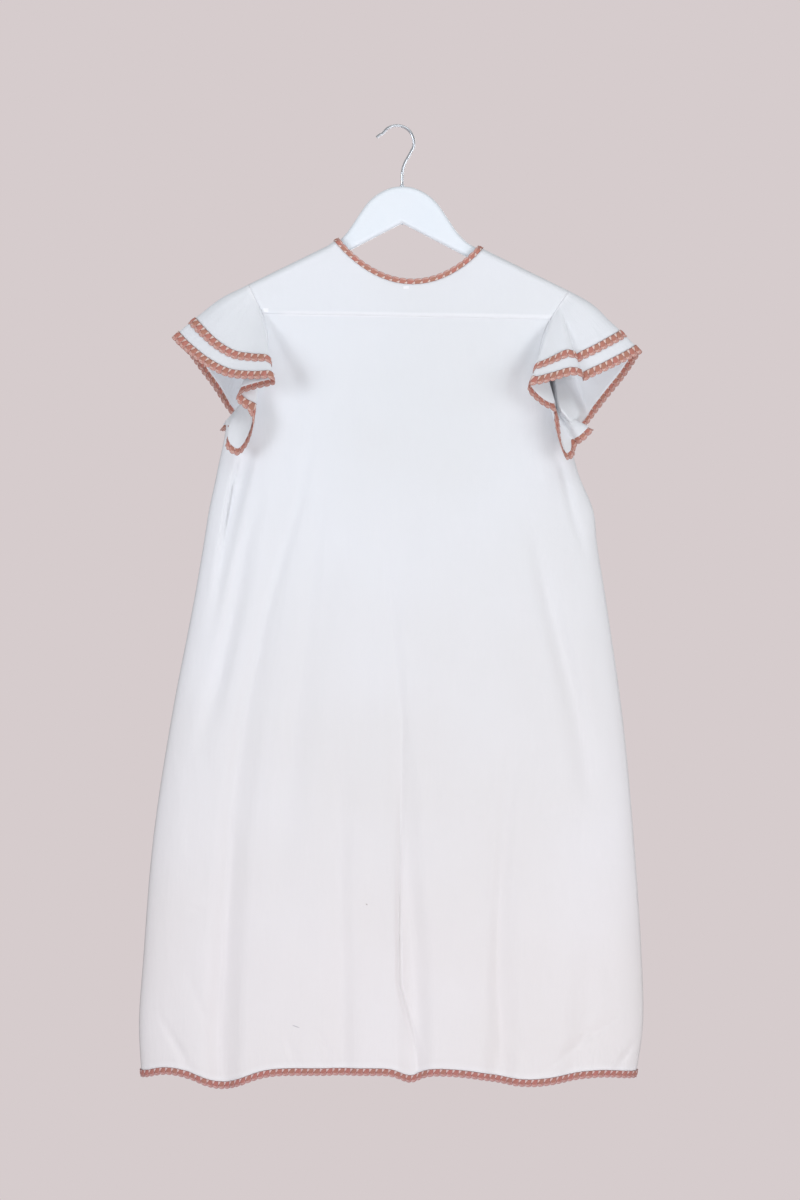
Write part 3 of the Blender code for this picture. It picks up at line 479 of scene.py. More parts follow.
def top_drop(face, share):
    """Drop of the panel's top edge: shoulder, neckline, shoulder."""
    on_shoulder = shoulder_drop(blend(LEFT_TIP.x, RIGHT_TIP.x, share))
    neck = np.clip((share - NECK_FROM_SHARE) / (NECK_TO_SHARE - NECK_FROM_SHARE), 0.0, 1.0)
    ends = [
        shoulder_drop(blend(LEFT_TIP.x, RIGHT_TIP.x, end))
        for end in (NECK_FROM_SHARE, NECK_TO_SHARE)
    ]
    depth = BACK_NECK_DEPTH if face == BACK else FRONT_NECK_DEPTH
    neckline = blend(*ends, neck) + depth * (4 * neck * (1 - neck)) ** NECK_POWER
    on_neck = (share > NECK_FROM_SHARE) & (share < NECK_TO_SHARE)
    return np.where(on_neck, neckline, on_shoulder)


def base_drop(face):
    """Drop of a panel's level 1: the back's cross seam, or a plain row of the front."""
    return YOKE_SEAM_DROP if face == BACK else FRONT_BASE_DROP


def band_point(face, share, below):
    """x and drop of a point this far below the top edge."""
    by_left = np.maximum(0.0, 1 - share / NECK_FROM_SHARE)
    by_right = np.maximum(0.0, 1 - (1 - share) / (1 - NECK_TO_SHARE))
    x = blend(LEFT_TIP.x, RIGHT_TIP.x, share)
    x = x + by_left * (side_edge(LEFT, LEFT_TIP.drop + below) - LEFT_TIP.x)
    x = x + by_right * (side_edge(RIGHT, RIGHT_TIP.drop + below) - RIGHT_TIP.x)
    return Point(x, top_drop(face, share) + below)


def row_ends(face, level):
    """Drops of a row's left and right ends."""
    base = base_drop(face)
    low = blend(HEM_DROP, base, level)
    below = TOP_BAND * np.minimum((2 - level) / 0.5, 1.0)
    band = LEFT_TIP.drop + below, RIGHT_TIP.drop + below
    up = np.clip((level - 1) / 0.5, 0.0, 1.0)
    middle = blend(base, band[0], up), blend(base + lower_on_right(base), band[1], up)
    ends = []
    for lower, between, upper in zip((low, low + lower_on_right(low)), middle, band):
        ends.append(np.where(level <= 1, lower, np.where(level < 1.5, between, upper)))
    return ends


def body_place(face, share, level):
    """x and drop of a point of the body, and its row's ends."""
    row = row_ends(face, level)
    x = blend(side_edge(LEFT, row[0]), side_edge(RIGHT, row[1]), share)
    drop = blend(row[0], row[1], share)
    dipped = hem_dip(face, x) * ease((drop - HEM_DIPS_FROM_DROP) / (HEM_DROP - HEM_DIPS_FROM_DROP))
    band = row_ends(face, np.float64(1.5))
    end = band_point(face, share, TOP_BAND)
    straight = blend(side_edge(LEFT, band[0]), side_edge(RIGHT, band[1]), share)
    up = np.clip((level - 1) / 0.5, 0.0, 1.0)
    over = band_point(face, share, (2 - np.clip(level, 1.5, 2.0)) / 0.5 * TOP_BAND)
    between_x = x + (end.x - straight) * up
    between_drop = drop + (end.drop - blend(*band, share)) * up
    x = np.where(level < 1, x, np.where(level < 1.5, between_x, over.x))
    drop = np.where(level < 1, drop + dipped, np.where(level < 1.5, between_drop, over.drop))
    return x, drop, row


def body_point(face, share, level, lift=0.0):
    """Points of the body's outer face. share runs from left to right, and level from 0 at the hem
    to 1 at the panel's base row, 1.5 at the top edge's band and 2 at the top edge."""
    share, level = np.broadcast_arrays(np.asarray(share, float), np.asarray(level, float))
    x, drop, row = body_place(face, share, level)
    depth = body_depth(face, share, x, drop, row) + lift
    return np.stack([x, face * depth, -drop], axis=-1)


def armhole_level(face, seam):
    """The level on a panel's armhole edge at a share of the way from shoulder to underarm."""
    drop = blend(LEFT_TIP.drop, UNDERARM_DROP, seam)
    base = base_drop(face)
    band = row_ends(face, np.float64(1.5))[0]
    low = (HEM_DROP - drop) / (HEM_DROP - base)
    middle = 1 + 0.5 * (base - drop) / (base - band)
    high = 1.5 + 0.5 * (band - drop) / (band - LEFT_TIP.drop)
    return np.where(drop > base, low, np.where(drop > band, middle, high))


def seam_point(side, seam):
    """Points of the armhole's edge, down the back and up the front."""
    seam = np.mod(seam, 2.0)
    share = np.full(np.shape(seam), 0.0 if side == LEFT else 1.0)
    on_back = body_point(BACK, share, armhole_level(BACK, np.clip(seam, 0.0, 1.0)))
    on_front = body_point(FRONT, share, armhole_level(FRONT, np.clip(2 - seam, 0.0, 1.0)))
    return np.where((seam <= 1)[..., None], on_back, on_front)


def push_at(along, peak):
    """A soft-topped hill from 0 to 1, for bending the cloth between the seam and the edge."""
    before, after, soft = along / peak, (1 - along) / (1 - peak), 0.12
    hill = 0.5 * (before + after - np.sqrt((before - after) ** 2 + soft))
    foot = 0.5 * (1 / (1 - peak) - math.sqrt(1 / (1 - peak) ** 2 + soft))
    return np.maximum(hill - foot * (1 - along), 0.0)


def stations_at(stations, place):
    """The stations' columns on a closed smooth curve. place counts stations."""
    table = np.array(stations, float)
    count = len(table)
    whole = np.floor(place).astype(int)
    share = place - whole
    rows = [table[(whole + k) % count] for k in (-1, 0, 1, 2)]
    turns = [2.0 * ((whole + k) // count) for k in (-1, 0, 1, 2)]
    weights = (
        (-share + 2 * share**2 - share**3) / 2,
        (2 - 5 * share**2 + 3 * share**3) / 2,
        (share + 4 * share**2 - 3 * share**3) / 2,
        (share**3 - share**2) / 2,
    )
    values = sum(weight[..., None] * row for weight, row in zip(weights, rows))
    values[..., 0] = blend(rows[1][..., 0] + turns[1], rows[2][..., 0] + turns[2], share)
    return values


class SleeveForm:
    """One sleeve: straight lines from the armhole to its edge, bent by the stations' pushes."""

    def __init__(self, side):
        self.side = side
        stations, self.peak = SLEEVES[side]
        self.count = len(stations)
        fine = np.linspace(0, self.count, FINE_STEPS * self.count + 1)
        values = stations_at(stations, fine)
        self.fine = fine
        self.round = values[:, 0]
        self.start = seam_point(side, values[:, 0])
        self.end = np.stack([values[:, 1], values[:, 2], -values[:, 3]], axis=-1)
        self.push = np.stack([values[:, 4], values[:, 5], -values[:, 6]], axis=-1)
        self.length = np.linalg.norm(self.end - self.start, axis=-1)
        edge = np.gradient(self.end, axis=0)
        edge = edge / np.maximum(np.linalg.norm(edge, axis=-1, keepdims=True), 1e-9)
        line = (self.end - self.start) / self.length[:, None]
        square = np.linalg.norm(np.cross(edge, line), axis=-1)
        slant = 1 / np.clip(square, 1 / MOST_SLANT, 1)
        soft = np.hanning(2 * SLANT_SOFT + 1)
        ringed = np.concatenate([slant[-SLANT_SOFT - 1:-1], slant, slant[1:SLANT_SOFT + 1]])
        self.slant = np.convolve(ringed, soft / soft.sum(), "valid")

    def seam(self, place):
        """How far round the armhole a place is: 0 at the shoulder, 1 at the underarm."""
        return np.interp(np.mod(place, self.count), self.fine, self.round)

    def column(self, table, place):
        """A table of the fine steps at any places, round and round."""
        place = np.mod(place, self.count)
        if table.ndim == 1:
            return np.interp(place, self.fine, table)
        return np.stack([np.interp(place, self.fine, table[:, k]) for k in range(3)], axis=-1)

    def point(self, place, along):
        place, along = np.broadcast_arrays(np.asarray(place, float), np.asarray(along, float))
        start, end = self.column(self.start, place), self.column(self.end, place)
        bend = push_at(np.minimum(along, 1.0), self.peak)[..., None]
        return start + (end - start) * along[..., None] + self.column(self.push, place) * bend

    def along(self, place, from_edge, most_share, square=False):
        """How far along the sleeve a line lies that keeps this far from its edge, square to it or
        along the sleeve."""
        length = self.column(self.length, place)
        if square:
            from_edge = from_edge * self.column(self.slant, place)
        return 1 - np.minimum(from_edge, most_share * length) / length

    def between(self, place, rows, across, square=False):
        """Points between two such lines, at a share of the way from the first to the second."""
        first, second = self.along(place, *rows[0], square), self.along(place, *rows[1])
        if rows[1][0] < 0:
            second = 1 - rows[1][0] / self.column(self.length, place)
        return self.point(place, blend(first, second, across))


def run_of(points):
    """Distance along a line of points, from its start."""
    steps = np.linalg.norm(np.diff(points, axis=0), axis=-1)
    return np.concatenate([[0.0], np.cumsum(steps)])


def grid_normals(points, ring):
    """Directions square to a grid of points, from its rows and columns."""
    if ring:
        padded = np.concatenate([points[:, -2:-1], points, points[:, 1:2]], axis=1)
        across = padded[:, 2:] - padded[:, :-2]
    else:
        across = np.gradient(points, axis=1)
    normal = np.cross(across, np.gradient(points, axis=0))
    # A very short one is left short, not divided by nothing
    return normal / np.maximum(np.linalg.norm(normal, axis=-1, keepdims=True), 1e-9)


def placed(name, data):
    """A new object in the scene."""
    thing = bpy.data.objects.new(name, data)
    bpy.context.collection.objects.link(thing)
    return thing


def mesh_data(name, mesh):
    """The mesh that a bmesh holds, which is freed."""
    data = bpy.data.meshes.new(name)
    mesh.to_mesh(data)
    mesh.free()
    return data


def laid(name, points, marks, layer, ring, turned, doubled=None):
    """A mesh grid laid on points, with the marks as its UV map. turned faces it the other way."""
    rows, columns = points.shape[:2]
    mesh = bmesh.new()
    bmesh.ops.create_grid(mesh, x_segments=columns - 1, y_segments=rows - 1, size=1)
    if turned:
        bmesh.ops.reverse_faces(mesh, faces=mesh.faces)
    data = mesh_data(name, mesh)
    flat = np.empty(len(data.vertices) * 3, np.float32)
    data.vertices.foreach_get("co", flat)
    column = np.rint((flat[0::3] + 1) / 2 * (columns - 1)).astype(int)
    row = np.rint((flat[1::3] + 1) / 2 * (rows - 1)).astype(int)
    data.vertices.foreach_set("co", (points[row, column] * MM).astype(np.float32).ravel())
    corners = np.empty(len(data.loops), np.int32)
    data.loops.foreach_get("vertex_index", corners)
    uv = data.uv_layers.new(name=layer)
    uv.data.foreach_set("uv", marks[row, column][corners].astype(np.float32).ravel())
    if doubled is not None:
        attribute = data.attributes.new("doubled", "FLOAT", "POINT")
        attribute.data.foreach_set("value", doubled[row, column].astype(np.float32))
    data.update()
    if ring:
        mesh = bmesh.new()
        mesh.from_mesh(data)
        bmesh.ops.remove_doubles(mesh, verts=mesh.verts, dist=1e-5)
        mesh.to_mesh(data)
        mesh.free()
    data.shade_smooth()
    return placed(name, data)


def thickened(thing, thick):
    """A piece whose sheet is grown to this thickness, inwards from its outer face."""
    wall = thing.modifiers.new("wall", "SOLIDIFY")
    wall.thickness = thick * MM
    wall.offset = -1
    wall.use_even_offset = False
    return thing


def worn(thing, finish, slot, *nodes):
    """Gives a piece its finish and its body, and hides the CAD nodes that it stands for. slot is not
    used.
    """
    thing.data.materials.append(finish)
    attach(thing, "root")
    if nodes:
        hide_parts(*nodes)
    return thing


def panel_shares():
    """Columns of a panel, close together beside the side seams, the neck points and the long
    middle crease."""
    side = np.linspace(0, 1, 40)
    side = NECK_FROM_SHARE * blend(side, 1 - np.cos(0.5 * np.pi * side), 0.55)
    fine = np.linspace(NECK_FROM_SHARE, NECK_TO_SHARE, 2001)
    # How closely they stand between the neck points: where, over what share, how much more
    crowd = 1
    for place, reach, more in ((0.52, 0.035, 2.4), (NECK_FROM_SHARE, 0.02, 1), (NECK_TO_SHARE, 0.02, 1)):
        crowd = crowd + more * np.exp(-(((fine - place) / reach) ** 2))
    gone = np.concatenate([[0], np.cumsum(crowd[1:])])
    middle = np.interp(np.linspace(0, gone[-1], 100), gone, fine)
    far = 1 - side[::-1] * (1 - NECK_TO_SHARE) / NECK_FROM_SHARE
    return np.concatenate([side[:-1], middle, far[1:]])


def panel_piece(name, face, levels, cotton, nodes, lift=0.0):
    """A panel with rows at these levels, crumpled inside its edges. The attribute doubled says how
    much a turned hem or a seam hides what lies behind the cloth."""
    share, level = np.meshgrid(panel_shares(), levels)
    points = body_point(face, share, level, lift)
    x, drop = points[..., 0], -points[..., 2]
    across = np.abs(2 * share - 1)
    # The crumple fades out towards the side seams, the top edge, the hanger and the hem's braid
    fade = ease((1 - across) / 0.10) * ease((2 - level) / 0.35)
    fade = fade * ease((drop - 120) / 120) * ease((HEM_DROP - 6 - drop) / 40)
    points[..., 1] -= face * fade * crumple(x, drop, CRUMPLE_SEEDS[face])
    marks = np.stack([x, -drop], axis=-1) * MM
    doubled = 0.3 * ease((HEM_TURNING - level * BACK_SPAN) / 5)
    piece = laid(name, points, marks, "cloth", False, face == FRONT, doubled)
    return worn(thickened(piece, CLOTH), cotton, "cotton", *nodes)


def body_pieces(cotton):
    """The back's skirt, the yoke lapped over its top, and the plain front."""
    # Rows are closer together beside the cross seam and along the top edge
    half_lap = YOKE_LAP / BACK_SPAN / 2
    skirt = np.linspace(0, 1, round(BACK_SPAN / CELL)) * (1.0 + half_lap)
    yoke = np.concatenate([
        np.linspace(1 - half_lap, 1.04, 9), np.linspace(1.06, 1.5, 22)[:-1], np.linspace(1.5, 2.0, 16),
    ])
    # The yoke stands a little proud of the skirt at the seam, and no longer a few rows above it
    steps_up = (yoke - 1) / (0.5 / 30)
    lift = YOKE_LIFT * (1 - ease((steps_up - 1.0) / 2.2))
    front = np.concatenate([
        np.linspace(0.0, 1.0, 190)[:-1], np.linspace(1.0, 1.5, 34)[:-1], np.linspace(1.5, 2.0, 16),
    ])
    return (
        panel_piece("back_panel_cloth", BACK, skirt, cotton, ("back_panel", "back_bodice")),
        panel_piece("back_yoke_cloth", BACK, yoke, cotton, ("back_yoke",), lift[:, None]),
        panel_piece("front_panel_cloth", FRONT, front, cotton, ("front_panel", "front_bodice")),
    )


def tongue_depth(x, drop):
    """How far the right sleeve's soft fold stands towards the back."""
    left, right, depth = (along_table(SLEEVE_TONGUE, drop, key) for key in ("left", "right", "depth"))
    # Steep on its left side, over 7 mm, and soft on its right, over 18 mm
    return np.maximum(depth, 0.0) * ease((x - left + 2) / 7) * (1 - ease((x - right + 12) / 18))


def sleeve_piece(word, side, cotton):
    """A sleeve's cloth, softly rippled, and the form it is laid on."""
    form = SleeveForm(side)
    place = np.linspace(0, form.count, SLEEVE_COLUMNS * form.count + 1)
    end = form.along(place, *SLEEVE_CLOTH_END, True)
    rows = np.linspace(0, 1, SLEEVE_ROWS)[:, None]
    along = rows * end[None, :]
    points = form.point(place[None, :], along)
    around = run_of(form.point(place, end))
    down = along * form.column(form.length, place)[None, :]
    marks = np.stack([np.broadcast_to(around, down.shape), -down], axis=-1) * MM
    # Waves about 24 mm long, which die away at the armhole and at the edge
    ripple = np.empty(along.shape)
    for at in np.ndindex(ripple.shape):
        ripple[at] = noise.noise(Vector(tuple(points[at] / 24)) + Vector((7.0 * side, 0, 0)))
    calm = ease(rows / 0.2) * ease((1 - rows) / 0.35)
    outward = grid_normals(points, True) * side
    points = points + outward * (ripple * calm * RIPPLE)[..., None]
    if side == RIGHT:
        # Only the far half is folded, from just past the underarm to just short of the shoulder
        around_arm = form.seam(place)
        far_half = ease((around_arm - 1.02) / 0.14) * ease((1.98 - around_arm) / 0.2)
        folded = tongue_depth(points[..., 0], -points[..., 2])
        points[..., 1] -= folded * far_half[None, :] * ease(rows / 0.1) * ease((1 - rows) / 0.12)
    points[:, -1] = points[:, 0]
    doubled = np.broadcast_to(np.exp(-((rows / 0.03) ** 2)), down.shape)
    piece = laid(f"{word}_sleeve_cloth", points, marks, "cloth", True, side == LEFT, doubled)
    return worn(thickened(piece, CLOTH), cotton, "cotton", f"{word}_sleeve"), form


def motif_relief(repeat, across):
    """Height of the braid's ovals and shells over its ground, in mm. repeat and across are shares
    of one motif's length and width, and so are each part's middle and half size."""
    lean = np.mod(repeat + OVAL_LEAN * (across - OVAL_MIDDLE), 1.0)
    oval = 1 - ((lean - 0.5) / 0.40) ** 2 - ((across - OVAL_MIDDLE) / 0.33) ** 2
    curl = np.exp(-((np.minimum(lean, 1 - lean) / 0.17) ** 2)) * np.clip(1 - across / 0.6, 0, 1)
    shell = 1 - ((repeat - 0.5) / 0.5) ** 2 - ((across - 0.76) / 0.26) ** 2
    header = np.exp(-(((across - 0.02) / 0.05) ** 2))
    raised = 0.8 * np.sqrt(np.clip(oval, 0, 1)) + 0.35 * np.sqrt(np.clip(shell, 0, 1))
    return np.maximum(raised, 0.75 * curl) + 0.2 * header


def braid_piece(words, surface, span, length, ring, turned, finish):
    """A band of braid on a surface(place, across), across from its straight edge to its shells.
    It has as many whole motifs of about this length as its span of places takes."""
    fine = np.linspace(*span, 6001)
    # Its length is measured along the middle of the ovals
    run = run_of(surface(fine, np.full(fine.shape, 0.4)))
    repeats = max(round(run[-1] / length), 1)
    steps = np.linspace(0, repeats, repeats * BRAID_COLUMNS + 1)
    place = np.interp(steps / repeats * run[-1], run, fine)
    rows = np.linspace(0, 1, BRAID_ROWS)[:, None]
    steps = -steps if turned else steps
    repeat = np.mod(steps, 1.0)[None, :]
    cusp = 1 - np.sqrt(np.clip(1 - (2 * repeat - 1) ** 2, 0, 1))
    across = rows * (1 - SCALLOP * cusp * ease((rows - 0.45) / 0.5))
    place = np.broadcast_to(place, across.shape)
    outward = grid_normals(surface(place, rows + 0 * across), ring) * (-1 if turned else 1)
    height = BRAID_OFF + BRAID_THICK + motif_relief(repeat, rows)
    points = surface(place, across) + outward * height[..., None]
    marks = np.stack([np.broadcast_to(steps, across.shape), across], axis=-1)
    if ring:
        points[:, -1] = points[:, 0]
    piece = laid(f"{words}_band", points, marks, "braid", ring, turned)
    return worn(thickened(piece, BRAID_THICK), finish, "braid", f"{words}_braid")


def hem_braid(finish):
    def surface(place, across):
        above = blend(*HEM_BRAID, across)
        on_back = body_point(BACK, np.clip(place, 0.0, 1.0), above / BACK_SPAN)
        on_front = body_point(FRONT, np.clip(2 - place, 0.0, 1.0), above / FRONT_SPAN)
        return np.where((place <= 1)[..., None], on_back, on_front)

    return braid_piece("hem", surface, (0.0, 2.0), HEM_MOTIF, True, True, finish)


def neck_point(face, share, inwards):
    """Points of a panel this far from its neckline, square to it, and down the arm's slope where
    the neckline meets the shoulder's ridge."""
    x, drop = band_point(face, share, 0.0)
    # The neckline's own direction, from two points close by
    ahead = np.minimum(share + 0.001, NECK_TO_SHARE)
    behind = np.maximum(share - 0.001, NECK_FROM_SHARE)
    rise = band_point(face, behind + 1e-7, 0.0).drop - band_point(face, ahead - 1e-7, 0.0).drop
    span = (ahead - behind) * (RIGHT_TIP.x - LEFT_TIP.x)
    square = np.stack([rise, span], axis=-1) / np.hypot(rise, span)[..., None]
    side = np.where(share < 0.5, LEFT, RIGHT)
    ridge = np.stack([side + 0.0 * share, ARM_SLOPE + 0.0 * share], axis=-1)
    ridge = ridge / np.linalg.norm(ridge, axis=-1, keepdims=True)
    away = blend(ridge, square, ease((drop - shoulder_drop(x)) / SHOULDER_ROUND)[..., None])
    away = away / np.linalg.norm(away, axis=-1, keepdims=True)
    x, drop = x + away[..., 0] * inwards, drop + away[..., 1] * inwards
    at = (x - LEFT_TIP.x) / (RIGHT_TIP.x - LEFT_TIP.x)
    row = row_ends(face, np.full(np.shape(share), 1.5))
    return np.stack([x, face * body_depth(face, at, x, drop, row), -drop], axis=-1)


def neck_braid(finish):
    def surface(place, across):
        on_back = place <= 1
        along = np.where(on_back, place, 2 - place)
        share = blend(NECK_FROM_SHARE, NECK_TO_SHARE, 0.5 * (1 - np.cos(np.pi * along)))
        inwards = blend(*NECK_BRAID, across)
        faces = [neck_point(face, share, inwards) for face in (BACK, FRONT)]
        return np.where(on_back[..., None], *faces)

    return braid_piece("neck", surface, (0.0, 2.0), NECK_MOTIF, True, False, finish)


def sleeve_braids(word, form, upper_span, finish):
    """The braid all round a sleeve's edge, and the one above it."""
    def edge(place, across):
        return form.between(place, EDGE_BRAID, across, True)

    def upper(place, across):
        return form.between(place, UPPER_BRAID, across)

    turned = form.side == LEFT
    return (
        braid_piece(f"{word}_edge", edge, (0, form.count), SLEEVE_MOTIF, True, turned, finish),
        braid_piece(f"{word}_upper", upper, upper_span, SLEEVE_MOTIF, False, turned, finish),
    )


# Finishes

MATH, VECTOR, MIX = "ShaderNodeMath", "ShaderNodeVectorMath", "ShaderNodeMix"
NOISE, MAPPING, RAMP = "ShaderNodeTexNoise", "ShaderNodeMapping", "ShaderNodeValToRGB"
SPLIT, JOIN, BUMP = "ShaderNodeSeparateXYZ", "ShaderNodeCombineXYZ", "ShaderNodeBump"
UV, COORDINATES = "ShaderNodeUVMap", "ShaderNodeTexCoord"
# A range's sockets in turn: its value, from low, from high, to low (0) and to high (1)
RANGE = "ShaderNodeMapRange"
SMOOTH = {"interpolation_type": "SMOOTHSTEP"}
# A colour mix's sockets in turn: the second colour's share and the two colours
COLOUR = {"data_type": "RGBA"}
# A colour mix that multiplies, used to paint shade on the cloth and the braid towards the hem
PAINTED_SHADE_MIX = {"data_type": "RGBA", "blend_type": "MULTIPLY"}


def linear(code):
    """A hex colour as linear red, green, blue and alpha."""
    values = [int(code[k:k + 2], 16) / 255 for k in (1, 3, 5)]
    return tuple(v / 12.92 if v <= 0.04045 else ((v + 0.055) / 1.055) ** 2.4 for v in values) + (1.0,)


def plug(tree, source, socket):
    """Fills a socket with a value, a node's output or a node's first output in use."""
    if isinstance(source, bpy.types.Node):
        source = next(output for output in source.outputs if output.enabled)
    if isinstance(source, bpy.types.NodeSocket):
        tree.links.new(source, socket)
    else:
        socket.default_value = source


def add(tree, kind, settings=None, *sources):
    """Adds a node. settings is its operation, or holds its properties and what goes into its
    sockets by name. sources go into the sockets in use in turn."""
    made = tree.nodes.new(kind)
    if isinstance(settings, str):
        settings = {"operation": settings}
    for key, value in (settings or {}).items():
        if key in made.inputs:
            plug(tree, value, made.inputs[key])
        else:
            setattr(made, key, value)
    for source, socket in zip(sources, [socket for socket in made.inputs if socket.enabled]):
        plug(tree, source, socket)
    return made


def new_finish(name, values):
    """A material, its nodes and its shader's sockets, with values set on those."""
    finish = bpy.data.materials.new(name)
    finish.use_nodes = True
    shader = finish.node_tree.nodes["Principled BSDF"]
    for key, value in values.items():
        shader.inputs[key].default_value = value
    return finish, finish.node_tree, shader.inputs


def cotton_finish():
    """Plain-woven slubby cotton: matt, with a soft bloom at grazing angles."""
    values = {"Roughness": 0.92, "Sheen Weight": 0.1, "Sheen Roughness": 0.6, "Specular IOR Level": 0.2}
    finish, tree, shader = new_finish("woven_cotton", values)
    uv = add(tree, UV, {"uv_map": "cloth"})
    place = add(tree, COORDINATES).outputs["Object"]
    tone = add(tree, NOISE, {"Scale": 3.2, "Detail": 2.0}, place)
    tone = add(tree, RAMP, None, tone)
    for stop, at, colour in zip(tone.color_ramp.elements, (0.35, 0.65), ("#eaecee", "#eef1f5")):
        stop.position, stop.color = at, linear(colour)
    parts = add(tree, SPLIT, None, place)
    # Painted shade: the cloth is multiplied warmer and a little darker from the chest down to the hem
    low = add(tree, RANGE, None, parts.outputs["Z"], -0.35, -1.0)
    colour = add(tree, MIX, PAINTED_SHADE_MIX, low, tone, linear("#fbf4f1"))
    doubled = add(tree, "ShaderNodeAttribute", {"attribute_name": "doubled"}).outputs["Fac"]

    # The yoke's doubled seam across the back, and the tacks on it: x, drop, half width, half height
    on_back = add(tree, RANGE, None, parts.outputs["Y"], 0.002, -0.002)
    on_cloth = add(tree, SPLIT, None, uv)
    across = on_cloth.outputs["X"]
    seam = add(tree, MATH, "MULTIPLY_ADD", across, 0.0136, 0.2263)
    off_seam = add(tree, MATH, "ADD", seam, on_cloth.outputs["Y"])
    off_seam = add(tree, MATH, "ABSOLUTE", off_seam)
    band = add(tree, RANGE, SMOOTH, off_seam, 0.0042, 0.0014, 0.0, 0.55)
    along = add(tree, RANGE, SMOOTH, across, -0.150, -0.125)
    band = add(tree, MATH, "MULTIPLY", band, along)
    band = add(tree, MATH, "MULTIPLY", band, on_back)
    doubled = add(tree, MATH, "MAXIMUM", doubled, band)
    for x, drop, wide, high in ((-157, 220.5, 3.2, 2.6), (11, 193.5, 3.4, 1.9)):
        tack = add(tree, MAPPING, {"Location": (-x / wide, drop / high, 0),
                                   "Scale": (1 / (wide * MM), 1 / (high * MM), 0)}, uv)
        tack = add(tree, VECTOR, "ABSOLUTE", tack)
        tack = add(tree, SPLIT, None, tack)
        tack = add(tree, MATH, "MAXIMUM", tack.outputs["X"], tack.outputs["Y"])
        tack = add(tree, RANGE, SMOOTH, tack, 1.1, 0.8)
        tack = add(tree, MATH, "MULTIPLY", tack, on_back)
        doubled = add(tree, MATH, "MAXIMUM", doubled, tack)
    colour = add(tree, MIX, COLOUR, doubled, colour, linear("#fafbfe"))

    # Two small specks on the back: x, drop, turn, half length, half height, colour
    specks = ((-120, 1074, 0.35, 5.5, 0.7, "#b9b6bb"), (-36, 929, 0.6, 1.6, 0.8, "#b4a9a4"))
    for x, drop, turn, wide, high, tint in specks:
        speck = add(tree, MAPPING, {"vector_type": "TEXTURE", "Location": (x * MM, -drop * MM, 0),
                                    "Rotation": (0, 0, -turn), "Scale": (wide * MM, high * MM, 1)}, uv)
        speck = add(tree, VECTOR, "LENGTH", speck)
        speck = add(tree, RANGE, SMOOTH, speck, 1.1, 0.5, 0.0, 0.8)
        speck = add(tree, MATH, "MULTIPLY", speck, on_back)
        colour = add(tree, MIX, COLOUR, speck, colour, linear(tint))
    plug(tree, colour, shader["Base Color"])

    # Warp and weft, with slubs and small creases
    weave = add(tree, VECTOR, "SCALE", uv, 2 * math.pi / THREAD_SPACING)
    weave = add(tree, VECTOR, "SINE", weave)
    weave = add(tree, SPLIT, None, weave)
    weave = add(tree, MATH, "MULTIPLY", weave.outputs["X"], weave.outputs["Y"])
    slubs = add(tree, MAPPING, {"Scale": (260, 26, 1)}, uv)
    slubs = add(tree, NOISE, {"Scale": 1.0, "Detail": 3.0}, slubs)
    creased = add(tree, MAPPING, {"Scale": (34, 11, 1)}, uv)
    creased = add(tree, NOISE, {"Scale": 1.0, "Detail": 4.0, "Roughness": 0.55}, creased)
    below = {}
    for height, strength, deep in ((weave, 0.12, 0.0002), (slubs, 0.25, 0.0006), (creased, 0.35, 0.003)):
        bump = add(tree, BUMP, {"Strength": strength, "Distance": deep, "Height": height, **below})
        below = {"Normal": bump}
    plug(tree, bump, shader["Normal"])
    return finish


